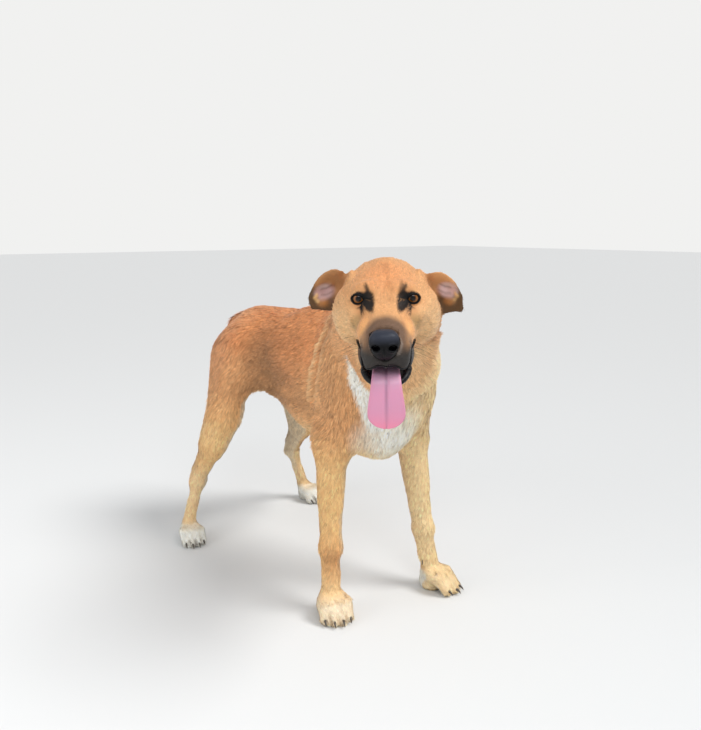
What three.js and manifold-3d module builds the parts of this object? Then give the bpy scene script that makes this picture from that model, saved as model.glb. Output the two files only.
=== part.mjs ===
// A young short-coated dog of shepherd and mastiff type, life size, standing square with its head turned to its
// right, its mouth open and its tongue out.
//
// Millimetres, +Z up. The dog faces -Y and its left side is +X. Every place below is given in the stance frame,
// whose origin is on the floor midway between the four paws. The whole group is shifted at the end so that the
// middle of its box stands on the origin.
//
// The body is one field of blended muscle forms. Each named piece is the skin of that field inside its own
// region, parted from its neighbours by thin flat cuts.
import * as THREE from 'three';
import { SimplifyModifier } from 'three/addons/modifiers/SimplifyModifier.js';
import { mergeVertices } from 'three/addons/utils/BufferGeometryUtils.js';
import Module from 'manifold-3d';

const wasm = await Module();
wasm.setup();

// ---------------------------------------------------------------- driving dimensions

const WITHERS = 548; // floor to the top of the shoulders
const CHEST_FLOOR = 268; // floor to the underside of the chest
const CHEST_HALF_WIDTH = 86;
const GAP = 0.3; // cut between touching pieces
const MUSCLE_BLEND = 34; // how softly the muscle forms run together
const FINE_BLEND = 12; // the same on the lower legs and paws

const EYE_MIDDLE = [-163, -430, 584]; // the point midway between the eyes
const HEAD_YAW = -39.5; // degrees, turned towards the dog's right
const HEAD_PITCH = 13; // degrees, the muzzle lowered
const HEAD_ROLL = -1; // degrees, its right eye lower
const EYE_SPREAD = 37.5; // half the distance between the eyes
const EYE_RADIUS = 11.5;

// the four legs: the joints from the body down to the paw, and the way the toes point, in degrees from forwards
const FORELEGS = {
  right: {
    side: -1,
    shoulder: [-56, -240, 398],
    elbow: [-84, -188, 302],
    wrist: [-98, -204, 118],
    paw: [-107, -222],
    toes: -22,
  },
  left: {
    side: 1,
    shoulder: [56, -240, 398],
    elbow: [86, -206, 302],
    wrist: [95, -236, 116],
    paw: [108, -258],
    toes: 26,
  },
};
const HINDLEGS = {
  right: {
    side: -1,
    hip: [-58, 180, 430],
    knee: [-110, 164, 290],
    hock: [-141, 242, 132],
    paw: [-172, 226],
    toes: -10,
  },
  left: {
    side: 1,
    hip: [58, 184, 430],
    knee: [100, 158, 288],
    hock: [138, 294, 138],
    paw: [178, 284],
    toes: 8,
  },
};

const COLOURS = {
  coat: 0xc98f55,
  leather: 0x1d1b1c,
  tongue: 0xd9799b,
  eye: 0x5a3413,
  claw: 0x2b2523,
};

// ---------------------------------------------------------------- forms: negative inside, positive outside

const { hypot, min, max, cos, sin, PI } = Math;
const vec = (p) => new THREE.Vector3(...p);
const radians = THREE.MathUtils.degToRad;
const mix = (a, b, t) => a + (b - a) * t;
const mixPoint = (a, b, t) => a.map((value, i) => mix(value, b[i], t));

// an ellipsoid, turned by angles in degrees about x, y and z
function oval(centre, radii, turn = [0, 0, 0]) {
  const turned = new THREE.Matrix4().makeRotationFromEuler(new THREE.Euler(...turn.map(radians)));
  const spin = turned.invert().elements;
  const [cx, cy, cz] = centre;
  const [rx, ry, rz] = radii;
  return (x, y, z) => {
    const dx = x - cx;
    const dy = y - cy;
    const dz = z - cz;
    const u = (spin[0] * dx + spin[4] * dy + spin[8] * dz) / rx;
    const v = (spin[1] * dx + spin[5] * dy + spin[9] * dz) / ry;
    const w = (spin[2] * dx + spin[6] * dy + spin[10] * dz) / rz;
    const reach = hypot(u, v, w);
    const steep = hypot(u / rx, v / ry, w / rz);
    return steep < 1e-9 ? -min(rx, ry, rz) : (reach * (reach - 1)) / steep;
  };
}

// a tapered limb from one point to another, with rounded ends and an oval section: [half width, half depth]
function limb(from, to, start, end, across = [1, 0, 0]) {
  const a = vec(from);
  const along = vec(to).sub(a);
  const length = along.length();
  along.normalize();
  const wide = vec(across).addScaledVector(along, -vec(across).dot(along)).normalize();
  const deep = along.clone().cross(wide);
  return (x, y, z) => {
    const dx = x - a.x;
    const dy = y - a.y;
    const dz = z - a.z;
    const run = dx * along.x + dy * along.y + dz * along.z;
    const t = min(max(run / length, 0), 1);
    const rw = mix(start[0], end[0], t);
    const rd = mix(start[1], end[1], t);
    const re = min(rw, rd);
    const u = (dx * wide.x + dy * wide.y + dz * wide.z) / rw;
    const v = (dx * deep.x + dy * deep.y + dz * deep.z) / rd;
    const w = (run - t * length) / re;
    const reach = hypot(u, v, w);
    const steep = hypot(u / rw, v / rd, w / re);
    return steep < 1e-9 ? -re : (reach * (reach - 1)) / steep;
  };
}

// forms run together over a distance
function blend(distance, ...forms) {
  return (x, y, z) => {
    let value = forms[0](x, y, z);
    for (let i = 1; i < forms.length; i += 1) {
      const other = forms[i](x, y, z);
      const overlap = max(distance - Math.abs(value - other), 0);
      value = min(value, other) - (overlap * overlap) / (4 * distance);
    }
    return value;
  };
}

// a form with another hollowed out of it, its edge rounded over a distance
function carve(distance, form, tool) {
  return (x, y, z) => {
    const value = form(x, y, z);
    const other = -tool(x, y, z);
    const overlap = max(distance - Math.abs(value - other), 0);
    return max(value, other) + (overlap * overlap) / (4 * distance);
  };
}

// a form made in a frame of its own, placed in the stance frame
function placed(form, frame) {
  const m = frame.clone().invert().elements;
  return (x, y, z) =>
    form(
      m[0] * x + m[4] * y + m[8] * z + m[12],
      m[1] * x + m[5] * y + m[9] * z + m[13],
      m[2] * x + m[6] * y + m[10] * z + m[14],
    );
}

const bothSides = (make) => [make(-1), make(1)];

// ---------------------------------------------------------------- from a form to a closed mesh

function geometryOf(positions, indices) {
  const geometry = new THREE.BufferGeometry();
  geometry.setAttribute('position', new THREE.Float32BufferAttribute(positions, 3));
  geometry.setIndex(indices);
  return geometry;
}

// the skin of a form inside a box: one vertex in each cell that the skin passes through, drawn on to the skin
function skinOf(form, low, high, cell) {
  const counts = low.map((value, i) => Math.ceil((high[i] - value) / cell[i]) + 1);
  const [nx, ny, nz] = counts;
  const step = low.map((value, i) => (high[i] - value) / (counts[i] - 1));
  const boxed = (x, y, z) => {
    const inset = min(x - low[0], high[0] - x, y - low[1], high[1] - y, z - low[2], high[2] - z);
    return max(form(x, y, z), 0.5 * min(...step) - inset);
  };
  const at = (i, j, k) => (k * ny + j) * nx + i;
  const place = (i, j, k) => [low[0] + i * step[0], low[1] + j * step[1], low[2] + k * step[2]];
  const values = new Float64Array(nx * ny * nz);
  for (let k = 0; k < nz; k += 1) {
    for (let j = 0; j < ny; j += 1) {
      for (let i = 0; i < nx; i += 1) values[at(i, j, k)] = boxed(...place(i, j, k));
    }
  }

  const positions = [];
  const indices = [];
  const vertexOf = new Int32Array(values.length).fill(-1);
  const corners = [0, 1, 2, 3, 4, 5, 6, 7].map((c) => [c & 1, (c >> 1) & 1, c >> 2]);
  const edges = [];
  corners.forEach((a, m) => {
    corners.forEach((b, n) => {
      if (m < n && hypot(a[0] - b[0], a[1] - b[1], a[2] - b[2]) === 1) edges.push([a, b]);
    });
  });
  const ontoSkin = (point) => {
    let p = point;
    for (let pass = 0; pass < 4; pass += 1) {
      const value = boxed(...p);
      const slope = [0, 1, 2].map((axis) => {
        const q = [...p];
        q[axis] += 0.05;
        return (boxed(...q) - value) / 0.05;
      });
      const steep = max(slope[0] ** 2 + slope[1] ** 2 + slope[2] ** 2, 0.05);
      const move = min(max(value / steep, -0.3 * min(...step)), 0.3 * min(...step));
      p = p.map((value0, axis) => value0 - slope[axis] * move);
    }
    return p;
  };
  for (let k = 0; k < nz - 1; k += 1) {
    for (let j = 0; j < ny - 1; j += 1) {
      for (let i = 0; i < nx - 1; i += 1) {
        const sum = [0, 0, 0];
        let crossings = 0;
        for (const [a, b] of edges) {
          const va = values[at(i + a[0], j + a[1], k + a[2])];
          const vb = values[at(i + b[0], j + b[1], k + b[2])];
          if (va < 0 === vb < 0) continue;
          const t = va / (va - vb);
          const p = mixPoint(place(i + a[0], j + a[1], k + a[2]), place(i + b[0], j + b[1], k + b[2]), t);
          p.forEach((value, axis) => {
            sum[axis] += value;
          });
          crossings += 1;
        }
        if (crossings === 0) continue;
        vertexOf[at(i, j, k)] = positions.length / 3;
        positions.push(...ontoSkin(sum.map((value) => value / crossings)));
      }
    }
  }
  const steps = [
    [1, 0, 0],
    [0, 1, 0],
    [0, 0, 1],
  ];
  for (let k = 0; k < nz - 1; k += 1) {
    for (let j = 0; j < ny - 1; j += 1) {
      for (let i = 0; i < nx - 1; i += 1) {
        steps.forEach((ahead, axis) => {
          if ([i, j, k].some((index, other) => other !== axis && index === 0)) return;
          const here = values[at(i, j, k)] < 0;
          if (here === values[at(i + ahead[0], j + ahead[1], k + ahead[2])] < 0) return;
          const u = steps[(axis + 1) % 3];
          const v = steps[(axis + 2) % 3];
          const ring = [
            [0, 0],
            [1, 0],
            [1, 1],
            [0, 1],
          ].map(([m, n]) => {
            const [di, dj, dk] = [0, 1, 2].map((c) => m * u[c] + n * v[c]);
            return vertexOf[at(i - di, j - dj, k - dk)];
          });
          if (!here) ring.reverse();
          indices.push(ring[0], ring[1], ring[2], ring[0], ring[2], ring[3]);
        });
      }
    }
  }
  return geometryOf(positions, indices);
}

// a closed mesh's faces turned so that they look outwards
function outward(geometry) {
  const p = geometry.attributes.position;
  const index = geometry.index.array;
  const [a, b, c] = [new THREE.Vector3(), new THREE.Vector3(), new THREE.Vector3()];
  let volume = 0;
  for (let i = 0; i < index.length; i += 3) {
    a.fromBufferAttribute(p, index[i]);
    b.fromBufferAttribute(p, index[i + 1]);
    c.fromBufferAttribute(p, index[i + 2]);
    volume += a.dot(b.cross(c));
  }
  if (volume < 0) {
    for (let i = 0; i < index.length; i += 3) [index[i], index[i + 1]] = [index[i + 1], index[i]];
  }
  return geometry;
}

// rings of points joined into a closed skin, each end closed by a fan round its middle
function loft(rings) {
  const count = rings[0].length;
  const positions = rings.flat(2);
  const indices = [];
  for (let r = 0; r < rings.length - 1; r += 1) {
    for (let i = 0; i < count; i += 1) {
      const a = r * count + i;
      const b = r * count + ((i + 1) % count);
      indices.push(a, b, b + count, a, b + count, a + count);
    }
  }
  [0, rings.length - 1].forEach((r) => {
    const middle = [0, 1, 2].map((axis) => rings[r].reduce((sum, p) => sum + p[axis], 0) / count);
    const hub = positions.push(...middle) / 3 - 1;
    for (let i = 0; i < count; i += 1) {
      const a = r * count + i;
      const b = r * count + ((i + 1) % count);
      indices.push(...(r === 0 ? [hub, b, a] : [hub, a, b]));
    }
  });
  return outward(geometryOf(positions, indices));
}

// ---------------------------------------------------------------- cutting and joining

function solidOf(geometry) {
  const bare = geometry.clone();
  bare.deleteAttribute('normal');
  bare.deleteAttribute('uv');
  const merged = mergeVertices(bare, 1e-4);
  return new wasm.Manifold(
    new wasm.Mesh({
      numProp: 3,
      vertProperties: new Float32Array(merged.attributes.position.array),
      triVerts: new Uint32Array(merged.index.array),
    }),
  );
}

function geometryFrom(solid) {
  const mesh = solid.getMesh();
  return geometryOf(Array.from(mesh.vertProperties), Array.from(mesh.triVerts));
}

// a solid with every corner moved outwards, to cut the place where it sits
function swollen(solid, by) {
  const geometry = geometryFrom(solid);
  geometry.computeVertexNormals();
  const { position, normal } = geometry.attributes;
  for (let i = 0; i < position.count; i += 1) {
    const corner = new THREE.Vector3().fromBufferAttribute(position, i);
    const out = new THREE.Vector3().fromBufferAttribute(normal, i);
    position.setXYZ(i, ...corner.addScaledVector(out, by).toArray());
  }
  return solidOf(geometry);
}

// everything on the far side of a plane, from so far beyond it
function beyond(point, normal, gap) {
  const size = 1600;
  const n = vec(normal).normalize();
  const box = new THREE.BoxGeometry(size, size, size);
  box.translate(0, 0, size / 2 + gap);
  box.applyQuaternion(new THREE.Quaternion().setFromUnitVectors(new THREE.Vector3(0, 0, 1), n));
  box.translate(...point);
  return solidOf(box);
}

const trimmed = (solid, ...tools) => tools.reduce((rest, tool) => rest.subtract(tool), solid);

// ---------------------------------------------------------------- the head, in its own frame

// The head's frame has its origin midway between the eyes, -y out along the muzzle and +x to the dog's left.
const headFrame = new THREE.Matrix4()
  .makeTranslation(...EYE_MIDDLE)
  .multiply(new THREE.Matrix4().makeRotationZ(radians(HEAD_YAW)))
  .multiply(new THREE.Matrix4().makeRotationX(radians(HEAD_PITCH)))
  .multiply(new THREE.Matrix4().makeRotationY(radians(HEAD_ROLL)));
const fromHead = (p) => vec(p).applyMatrix4(headFrame).toArray();
const headDirection = (p) => vec(p).transformDirection(headFrame).toArray();

const eyeCentre = (side) => [side * EYE_SPREAD, 4, 0];

function skullForm() {
  return blend(
    16,
    oval([0, 50, -17], [67, 74, 46.5]),
    oval([0, 88, -8], [46, 46, 33]),
    ...bothSides((s) => oval([s * 46, 44, -44], [30, 42, 38])),
    ...bothSides((s) => oval([s * 25, 0, 13], [19, 15, 12])),
    ...bothSides((s) => limb([s * 42, -4, -18], [s * 58, 44, -20], [12, 12], [13, 13])),
  );
}

function muzzleForm() {
  return blend(
    12,
    limb([0, 6, -32], [0, -84, -33], [38, 31], [28, 22]),
    ...bothSides((s) => limb([s * 24, 0, -44], [s * 14, -84, -42], [19, 18], [17, 17])),
    limb([0, -20, -18], [0, -94, -22], [15, 12], [16, 13]),
  );
}

function jawForm() {
  return blend(
    10,
    limb([0, 40, -82], [0, -56, -97], [38, 18], [23, 13]),
    limb([0, -46, -95], [0, -72, -98], [22, 12], [17, 10]),
  );
}

// the open mouth is a wedge between the lips that closes at their corners
const MOUTH_CORNER = [0, -28, -60];
const MOUTH_FRONT = [0, -130, -82];
const mouthForm = () => limb(MOUTH_CORNER, MOUTH_FRONT, [50, 3], [50, 21]);

const noseForm = blend(
  8,
  oval([0, -103, -21], [20, 18, 16]),
  limb([0, -102, -28], [0, -109, -40], [9, 8], [4, 4]),
);

const headForm = placed(
  carve(
    5,
    carve(
      7,
      blend(14, skullForm(), muzzleForm(), jawForm()),
      blend(4, ...bothSides((s) => oval([s * (EYE_SPREAD + 1), -9, 0], [15, 12, 11]))),
    ),
    mouthForm(),
  ),
  headFrame,
);

// ---------------------------------------------------------------- the neck, trunk and tail

const NECK_BASE = [4, -176, 450];
const NAPE = fromHead([0, 90, -26]);
const neckForm = blend(
  MUSCLE_BLEND,
  limb(NECK_BASE, NAPE, [78, 100], [58, 58]),
  limb([4, -246, 372], fromHead([0, 66, -70]), [54, 50], [42, 36]),
  limb([62, -224, 436], [-10, -318, 464], [42, 46], [37, 42]),
  limb([-10, -318, 464], fromHead([50, 74, -56]), [37, 42], [33, 34]),
);

const trunkForm = blend(
  MUSCLE_BLEND,
  oval([0, -92, 402], [CHEST_HALF_WIDTH, 178, 400 - CHEST_FLOOR]),
  oval([0, -206, 350], [62, 82, 84]),
  limb([0, -158, WITHERS - 32], [0, -20, 500], [28, 28], [40, 28]),
  oval([0, 72, 434], [76, 150, 86]),
  limb([0, -40, 356], [0, 110, 378], [62, 56], [46, 40]),
  oval([0, 178, 444], [72, 98, 72]),
  ...bothSides((s) => oval([s * 62, -200, 416], [38, 60, 96], [20, 0, 0])),
);

const TAIL_PATH = [
  [0, 244, 480],
  [-4, 290, 462],
  [-16, 322, 402],
  [-34, 336, 330],
  [-56, 338, 258],
];
const tailCurve = new THREE.CatmullRomCurve3(TAIL_PATH.map(vec));
const TAIL_STEPS = 9;
const tailRadius = (t) => mix(23, 19, t) * Math.sqrt(max(1 - (max(t - 0.55, 0) / 0.45) ** 2.2, 0.02));
const tailForm = blend(
  10,
  ...Array.from({ length: TAIL_STEPS }, (_, i) => {
    const ends = [i / TAIL_STEPS, (i + 1) / TAIL_STEPS];
    const [from, to] = ends.map((t) => tailCurve.getPoint(t).toArray());
    const [start, end] = ends.map(tailRadius);
    return limb(from, to, [start, start], [end, end]);
  }),
);

// ---------------------------------------------------------------- the legs

function forelegForm({ side, shoulder, elbow, wrist, paw }) {
  const fetlock = [mix(wrist[0], paw[0], 0.8), mix(wrist[1], paw[1], 0.5), 44];
  const upper = mixPoint(elbow, wrist, 0.3);
  return blend(
    FINE_BLEND,
    blend(
      MUSCLE_BLEND,
      limb(shoulder, elbow, [32, 46], [25, 37]),
      limb([elbow[0], elbow[1] + 4, elbow[2] + 8], mixPoint(elbow, wrist, 0.55), [25, 35], [20, 25]),
    ),
    limb(upper, wrist, [23, 27], [19, 20]),
    oval([wrist[0], wrist[1] - 2, wrist[2] + 4], [21, 21, 24]),
    limb(wrist, fetlock, [18.5, 18.5], [19, 18]),
    oval([wrist[0] + side * 2, wrist[1] + 17, wrist[2] - 22], [8, 9, 11]),
  );
}

function hindlegForm({ side, hip, knee, hock, paw }) {
  const fetlock = [mix(hock[0], paw[0], 0.85), hock[1] + mix(0, paw[1] + 16 - hock[1], 0.8), 42];
  const heel = [hock[0], hock[1] + 16, hock[2] + 16];
  return blend(
    FINE_BLEND,
    blend(
      MUSCLE_BLEND,
      limb(hip, knee, [44, 84], [28, 37]),
      limb([hip[0] - 4, hip[1] + 54, hip[2] - 30], mixPoint(knee, hock, 0.42), [34, 42], [20, 30]),
      limb(knee, mixPoint(knee, hock, 0.5), [27, 35], [22, 30]),
      limb([side * 50, 66, 384], [knee[0] - side * 8, knee[1] - 12, knee[2] + 66], [13, 24], [13, 20]),
    ),
    limb(mixPoint(knee, hock, 0.4), hock, [23, 30], [14, 17]),
    limb(mixPoint(knee, heel, 0.62), heel, [11, 14], [9, 11]),
    limb(hock, fetlock, [14.5, 17], [14.5, 15]),
    oval([hock[0], hock[1], hock[2] - 3], [20, 15, 17]),
  );
}

// ---------------------------------------------------------------- the paws

const FORE_PAW = { width: 56, length: 84, height: 46, toe: 11 };
const HIND_PAW = { width: 48, length: 80, height: 42, toe: 9.5 };

// each toe: how far across the paw it lies and how far forwards its tip reaches, as shares of the paw
const TOES = [
  { name: 'inner', across: -0.39, reach: 0.36 },
  { name: 'mid_inner', across: -0.14, reach: 0.48 },
  { name: 'mid_outer', across: 0.14, reach: 0.48 },
  { name: 'outer', across: 0.39, reach: 0.36 },
];

const pawFrame = ({ paw, toes }) =>
  new THREE.Matrix4()
    .makeTranslation(paw[0], paw[1], 0)
    .multiply(new THREE.Matrix4().makeRotationZ(radians(toes)));

const toeX = (size, toe) => toe.across * size.width;
const toeTip = (size, toe) => [toeX(size, toe) * 1.04, -toe.reach * size.length, size.toe - 1.5];

function pawForm(leg, size) {
  const toes = TOES.map((toe) => {
    const tip = toeTip(size, toe);
    const back = [toeX(size, toe) * 0.8, size.length * 0.06, size.height - 16];
    const knuckle = [toeX(size, toe), mix(back[1], tip[1], 0.52), size.height - size.toe - 5];
    return blend(
      4,
      limb(back, knuckle, [size.toe, 13], [size.toe, 12.5]),
      limb(knuckle, tip, [size.toe, 12.5], [size.toe - 1.5, 10.5]),
    );
  });
  return placed(
    blend(
      5,
      blend(
        12,
        oval([0, size.length * 0.12, 22], [size.width * 0.38, size.length * 0.25, 25]),
        oval([0, size.length * 0.08, 9], [size.width * 0.36, size.length * 0.25, 11.5]),
      ),
      ...toes,
    ),
    pawFrame(leg),
  );
}

// a claw: a short horn that leaves its root along -y and curves down to its tip
function clawGeometry(root, length) {
  const thick = 4.4;
  const sides = 5;
  const stations = [-0.15, 0.5, 1];
  const rings = stations.map((t) => {
    const droop = radians(8 + 34 * max(t, 0));
    const centre = [root[0], root[1] - t * length * cos(droop), root[2] - t * length * sin(droop)];
    const radius = thick * (1 - 0.82 * max(t, 0) ** 1.6);
    return Array.from({ length: sides }, (_, i) => {
      const turn = (2 * PI * i) / sides;
      return [
        centre[0] + radius * 0.8 * sin(turn),
        centre[1] - radius * sin(droop) * cos(turn),
        centre[2] + radius * cos(droop) * cos(turn),
      ];
    });
  });
  return loft(rings);
}

// the short first toe on the inner side of each wrist
const DEW_TILT = 52; // degrees, how steeply its claw points down
function dewFrame({ side, wrist, paw, toes }) {
  const turn = new THREE.Euler(radians(DEW_TILT), 0, radians(toes - side * 14), 'ZYX');
  return new THREE.Matrix4()
    .makeTranslation(mix(wrist[0], paw[0], 0.7) - side * 19, mix(wrist[1], paw[1], 0.4) + 2, 66)
    .multiply(new THREE.Matrix4().makeRotationFromEuler(turn));
}
const dewForm = (leg) => placed(limb([0, 8, 4], [0, -4, 0], [7, 7], [7, 7]), dewFrame(leg));

// ---------------------------------------------------------------- the whole body as one field

const forelegs = Object.entries(FORELEGS);
const hindlegs = Object.entries(HINDLEGS);
const torso = blend(
  MUSCLE_BLEND,
  trunkForm,
  neckForm,
  ...forelegs.map(([, leg]) => forelegForm(leg)),
  ...hindlegs.map(([, leg]) => hindlegForm(leg)),
);
const headAndBody = blend(18, torso, headForm);
const limbs = blend(
  8,
  torso,
  ...forelegs.map(([, leg]) => blend(4, pawForm(leg, FORE_PAW), dewForm(leg))),
  ...hindlegs.map(([, leg]) => pawForm(leg, HIND_PAW)),
);

// ---------------------------------------------------------------- the cuts between the pieces

const cut = (point, normal) => ({ point, normal });
const neckCut = cut(mixPoint(NECK_BASE, NAPE, 0.4), vec(NAPE).sub(vec(NECK_BASE)).toArray());
const headCut = cut(fromHead([0, 84, -20]), headDirection([0, 0.93, -0.37]));
const footCut = (leg) => cut([leg.paw[0], leg.paw[1], 46], [0, 0, -1]);
const shankCut = ({ knee, hock }) => cut(mixPoint(knee, hock, 0.34), vec(hock).sub(vec(knee)).toArray());

// the region of each foreleg: below the elbow, outside the armpit and before the back of the elbow
const forelegCuts = ({ side, elbow }) => [
  cut([elbow[0], elbow[1], elbow[2] - 4], [side * 0.16, -0.12, -1]),
  cut([side * 46, 0, elbow[2] - 4], [side, 0, -0.1]),
  cut([0, elbow[1] + 62, 0], [0, -1, 0]),
];

// the region of each thigh: outside the groin, behind the flank and below the croup
const thighCuts = ({ side, hip }) => [
  cut([side * 34, hip[1], 350], [side, 0, -0.12]),
  cut([0, 96, 400], [0, 1, -0.18]),
  cut([0, 0, 470], [0, 0.1, -1]),
];

// the lower jaw: below the open mouth and before the corners of the lips
const [, cornerY, cornerZ] = MOUTH_CORNER;
const [, frontY, frontZ] = MOUTH_FRONT;
const jawCuts = [
  cut(fromHead(MOUTH_CORNER), headDirection([0, cornerZ - frontZ, frontY - cornerY])),
  cut(fromHead([0, cornerY + 4, 0]), headDirection([0, -1, 0])),
];

const across = ({ point, normal }) => beyond(point, normal, -GAP / 2);
const before = ({ point, normal }) => beyond(point, normal.map((value) => -value), -GAP / 2);
const region = (cuts, gap) =>
  cuts.map(({ point, normal }) => beyond(point, normal, gap)).reduce((a, b) => a.intersect(b));
const within = (cuts) => region(cuts, GAP / 2);
const around = (cuts) => region(cuts, -GAP / 2);
const floorCut = beyond([0, 0, 0], [0, 0, -1], 0);

// ---------------------------------------------------------------- pieces

const dog = new THREE.Group();

// a piece of the dog: the solid without the crumbs its cuts leave beside it
function add(name, solid, colour, roughness = 0.8) {
  const [whole] = solid.decompose().sort((a, b) => b.volume() - a.volume());
  const material = new THREE.MeshStandardMaterial({ color: colour, roughness, metalness: 0 });
  const mesh = new THREE.Mesh(geometryFrom(whole), material);
  mesh.name = name;
  dog.add(mesh);
}

// a form's skin inside a box, simplified to about so many triangles
async function solidSkin(form, low, high, cell, triangles) {
  const fine = skinOf(form, low, high, [cell, cell, cell]);
  const share = min(triangles / (fine.index.count / 3), 1);
  const spare = Math.floor(fine.attributes.position.count * (1 - share));
  const kept = await new SimplifyModifier().modify(fine, spare);
  return solidOf(kept);
}

const tail = await solidSkin(tailForm, [-130, 200, 220], [50, 390, 530], 8, 260);
const tailSocket = swollen(tail, GAP);
add('tail', tail, COLOURS.coat);

const torsoSkin = await solidSkin(torso, [-170, -360, 190], [170, 330, 610], 13, 1100);
const openings = [
  ...forelegs.map(([, leg]) => around(forelegCuts(leg))),
  ...hindlegs.map(([, leg]) => around(thighCuts(leg))),
];
add('trunk', trimmed(torsoSkin, ...openings, across(neckCut), tailSocket), COLOURS.coat);

const neckSkin = await solidSkin(headAndBody, [-250, -480, 330], [130, -120, 650], 12, 1150);
add('neck', trimmed(neckSkin, before(neckCut), before(headCut)), COLOURS.coat);

for (const [name, leg] of forelegs) {
  const low = [leg.side < 0 ? -180 : 40, leg.elbow[1] - 100, 20];
  const high = [leg.side < 0 ? -40 : 180, leg.elbow[1] + 80, 330];
  const dewclaw = solidOf(clawGeometry([0, -6, 0], 15).applyMatrix4(dewFrame(leg)));
  const skin = await solidSkin(limbs, low, high, 8, 400);
  const piece = skin.intersect(within(forelegCuts(leg)));
  add(`foreleg_${name}`, trimmed(piece, across(footCut(leg)), swollen(dewclaw, GAP)), COLOURS.coat);
  add(`claw_fore_${name}_dew`, dewclaw, COLOURS.claw, 0.5);
}

for (const [name, leg] of hindlegs) {
  const low = [leg.side < 0 ? -210 : 30, 30, 20];
  const high = [leg.side < 0 ? -30 : 210, 350, 500];
  const skin = await solidSkin(limbs, low, high, 9, 660);
  const upper = skin.intersect(within(thighCuts(leg)));
  add(`thigh_${name}`, trimmed(upper, across(shankCut(leg)), tailSocket), COLOURS.coat);
  add(`hindleg_${name}`, trimmed(skin.intersect(within([shankCut(leg)])), across(footCut(leg))), COLOURS.coat);
}

async function addPaw(name, leg, size) {
  const frame = pawFrame(leg);
  const claws = TOES.map((toe) => {
    const tip = toeTip(size, toe);
    const root = [tip[0], tip[1] - size.toe * 0.55, tip[2] + 3];
    return solidOf(clawGeometry(root, 15).applyMatrix4(frame));
  });
  const reach = size.length * 0.72;
  const low = [leg.paw[0] - reach, leg.paw[1] - reach, -12];
  const high = [leg.paw[0] + reach, leg.paw[1] + reach, 70];
  const skin = await solidSkin(limbs, low, high, 5, 190);
  const nests = claws.map((claw) => swollen(claw, GAP));
  add(`paw_${name}`, trimmed(skin, floorCut, before(footCut(leg)), ...nests), COLOURS.coat);
  TOES.forEach((toe, i) => add(`claw_${name}_${toe.name}`, claws[i], COLOURS.claw, 0.5));
}

for (const [name, leg] of forelegs) await addPaw(`fore_${name}`, leg, FORE_PAW);
for (const [name, leg] of hindlegs) await addPaw(`hind_${name}`, leg, HIND_PAW);

// ---------------------------------------------------------------- the head's pieces

// the flap of an ear, seen from the front as a leaf held out sideways: its outline, from the root over the top
// to the tip and back under, as [out, up] in the head's frame
const EAR_OUTLINE = [
  [60, 20],
  [72, 25],
  [90, 19],
  [106, 2],
  [117, -20],
  [117, -36],
  [103, -37],
  [88, -41],
  [70, -38],
  [60, -12],
];
const EAR_ROOT = 66; // how far behind the eyes the ear grows from the head
const EAR_DROP = 6; // how much lower the left ear is held

function earGeometry(side) {
  const points = EAR_OUTLINE.map(([out, up]) => new THREE.Vector3(out, 0, up));
  const outline = new THREE.CatmullRomCurve3(points, true, 'centripetal').getSpacedPoints(20).slice(0, -1);
  const centre = new THREE.Vector3(86, 0, -9);
  const shares = [0.4, 0.75, 0.94];
  const depthAt = (out, up) => {
    const cup = 17 * Math.exp(-(((out - 74) / 20) ** 2) - ((up + 8) / 20) ** 2);
    const droop = 9 * max((out - 84) / 34, 0) ** 2;
    return EAR_ROOT + cup - droop;
  };
  const ring = (share, face) => {
    const half = face * 2.9 * Math.sqrt(1 - (share * 0.9) ** 4);
    return outline.map((edge) => {
      const p = centre.clone().lerp(edge, share);
      return fromHead([side * p.x, depthAt(p.x, p.z) + half, p.z - (side > 0 ? EAR_DROP : 0)]);
    });
  };
  const [front, back] = [-1, 1].map((face) => shares.map((share) => ring(share, face)));
  const rings = [...front, ring(1, 0), ...back.reverse()];
  return loft(rings);
}

// the tongue, over the lower lip and straight down, widest near its tip, as [forwards, down, half width,
// half thickness]
const TONGUE = [
  [24, 67, 15, 4],
  [58, 72, 17, 4.5],
  [84, 78, 18, 4.5],
  [98, 88, 18.5, 4.2],
  [104, 104, 20.5, 4],
  [107, 122, 25, 4],
  [109, 134, 25, 3.8],
  [110, 143, 18, 3.4],
  [110.5, 146, 8, 2.4],
];

function tongueGeometry() {
  const sides = 12;
  const rings = TONGUE.map(([forwards, down, half, thick], i) => {
    const last = TONGUE[max(i - 1, 0)];
    const next = TONGUE[min(i + 1, TONGUE.length - 1)];
    const slope = Math.atan2(next[1] - last[1], next[0] - last[0]);
    return Array.from({ length: sides }, (_, k) => {
      const turn = (2 * PI * k) / sides;
      const lift = thick * sin(turn);
      return fromHead([half * cos(turn), -(forwards + lift * sin(slope)), -(down - lift * cos(slope))]);
    });
  });
  return loft(rings);
}

function eyeball(side) {
  const ball = new THREE.SphereGeometry(EYE_RADIUS, 11, 8);
  return solidOf(ball.translate(...fromHead(eyeCentre(side))));
}

const noseInPlace = placed(noseForm, headFrame);
const noseLow = fromHead([0, -103, -24]).map((value) => value - 32);
const noseHigh = noseLow.map((value) => value + 64);
const headLow = EYE_MIDDLE.map((value, axis) => value - [150, 150, 160][axis]);
const headHigh = EYE_MIDDLE.map((value, axis) => value + [150, 150, 80][axis]);

const nose = await solidSkin(noseInPlace, noseLow, noseHigh, 4, 160);
const tongue = solidOf(tongueGeometry());
const ears = bothSides((side) => solidOf(earGeometry(side)));
const eyes = bothSides(eyeball);
const sockets = [nose, tongue, ...ears, ...eyes].map((piece) => swollen(piece, GAP));

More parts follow.
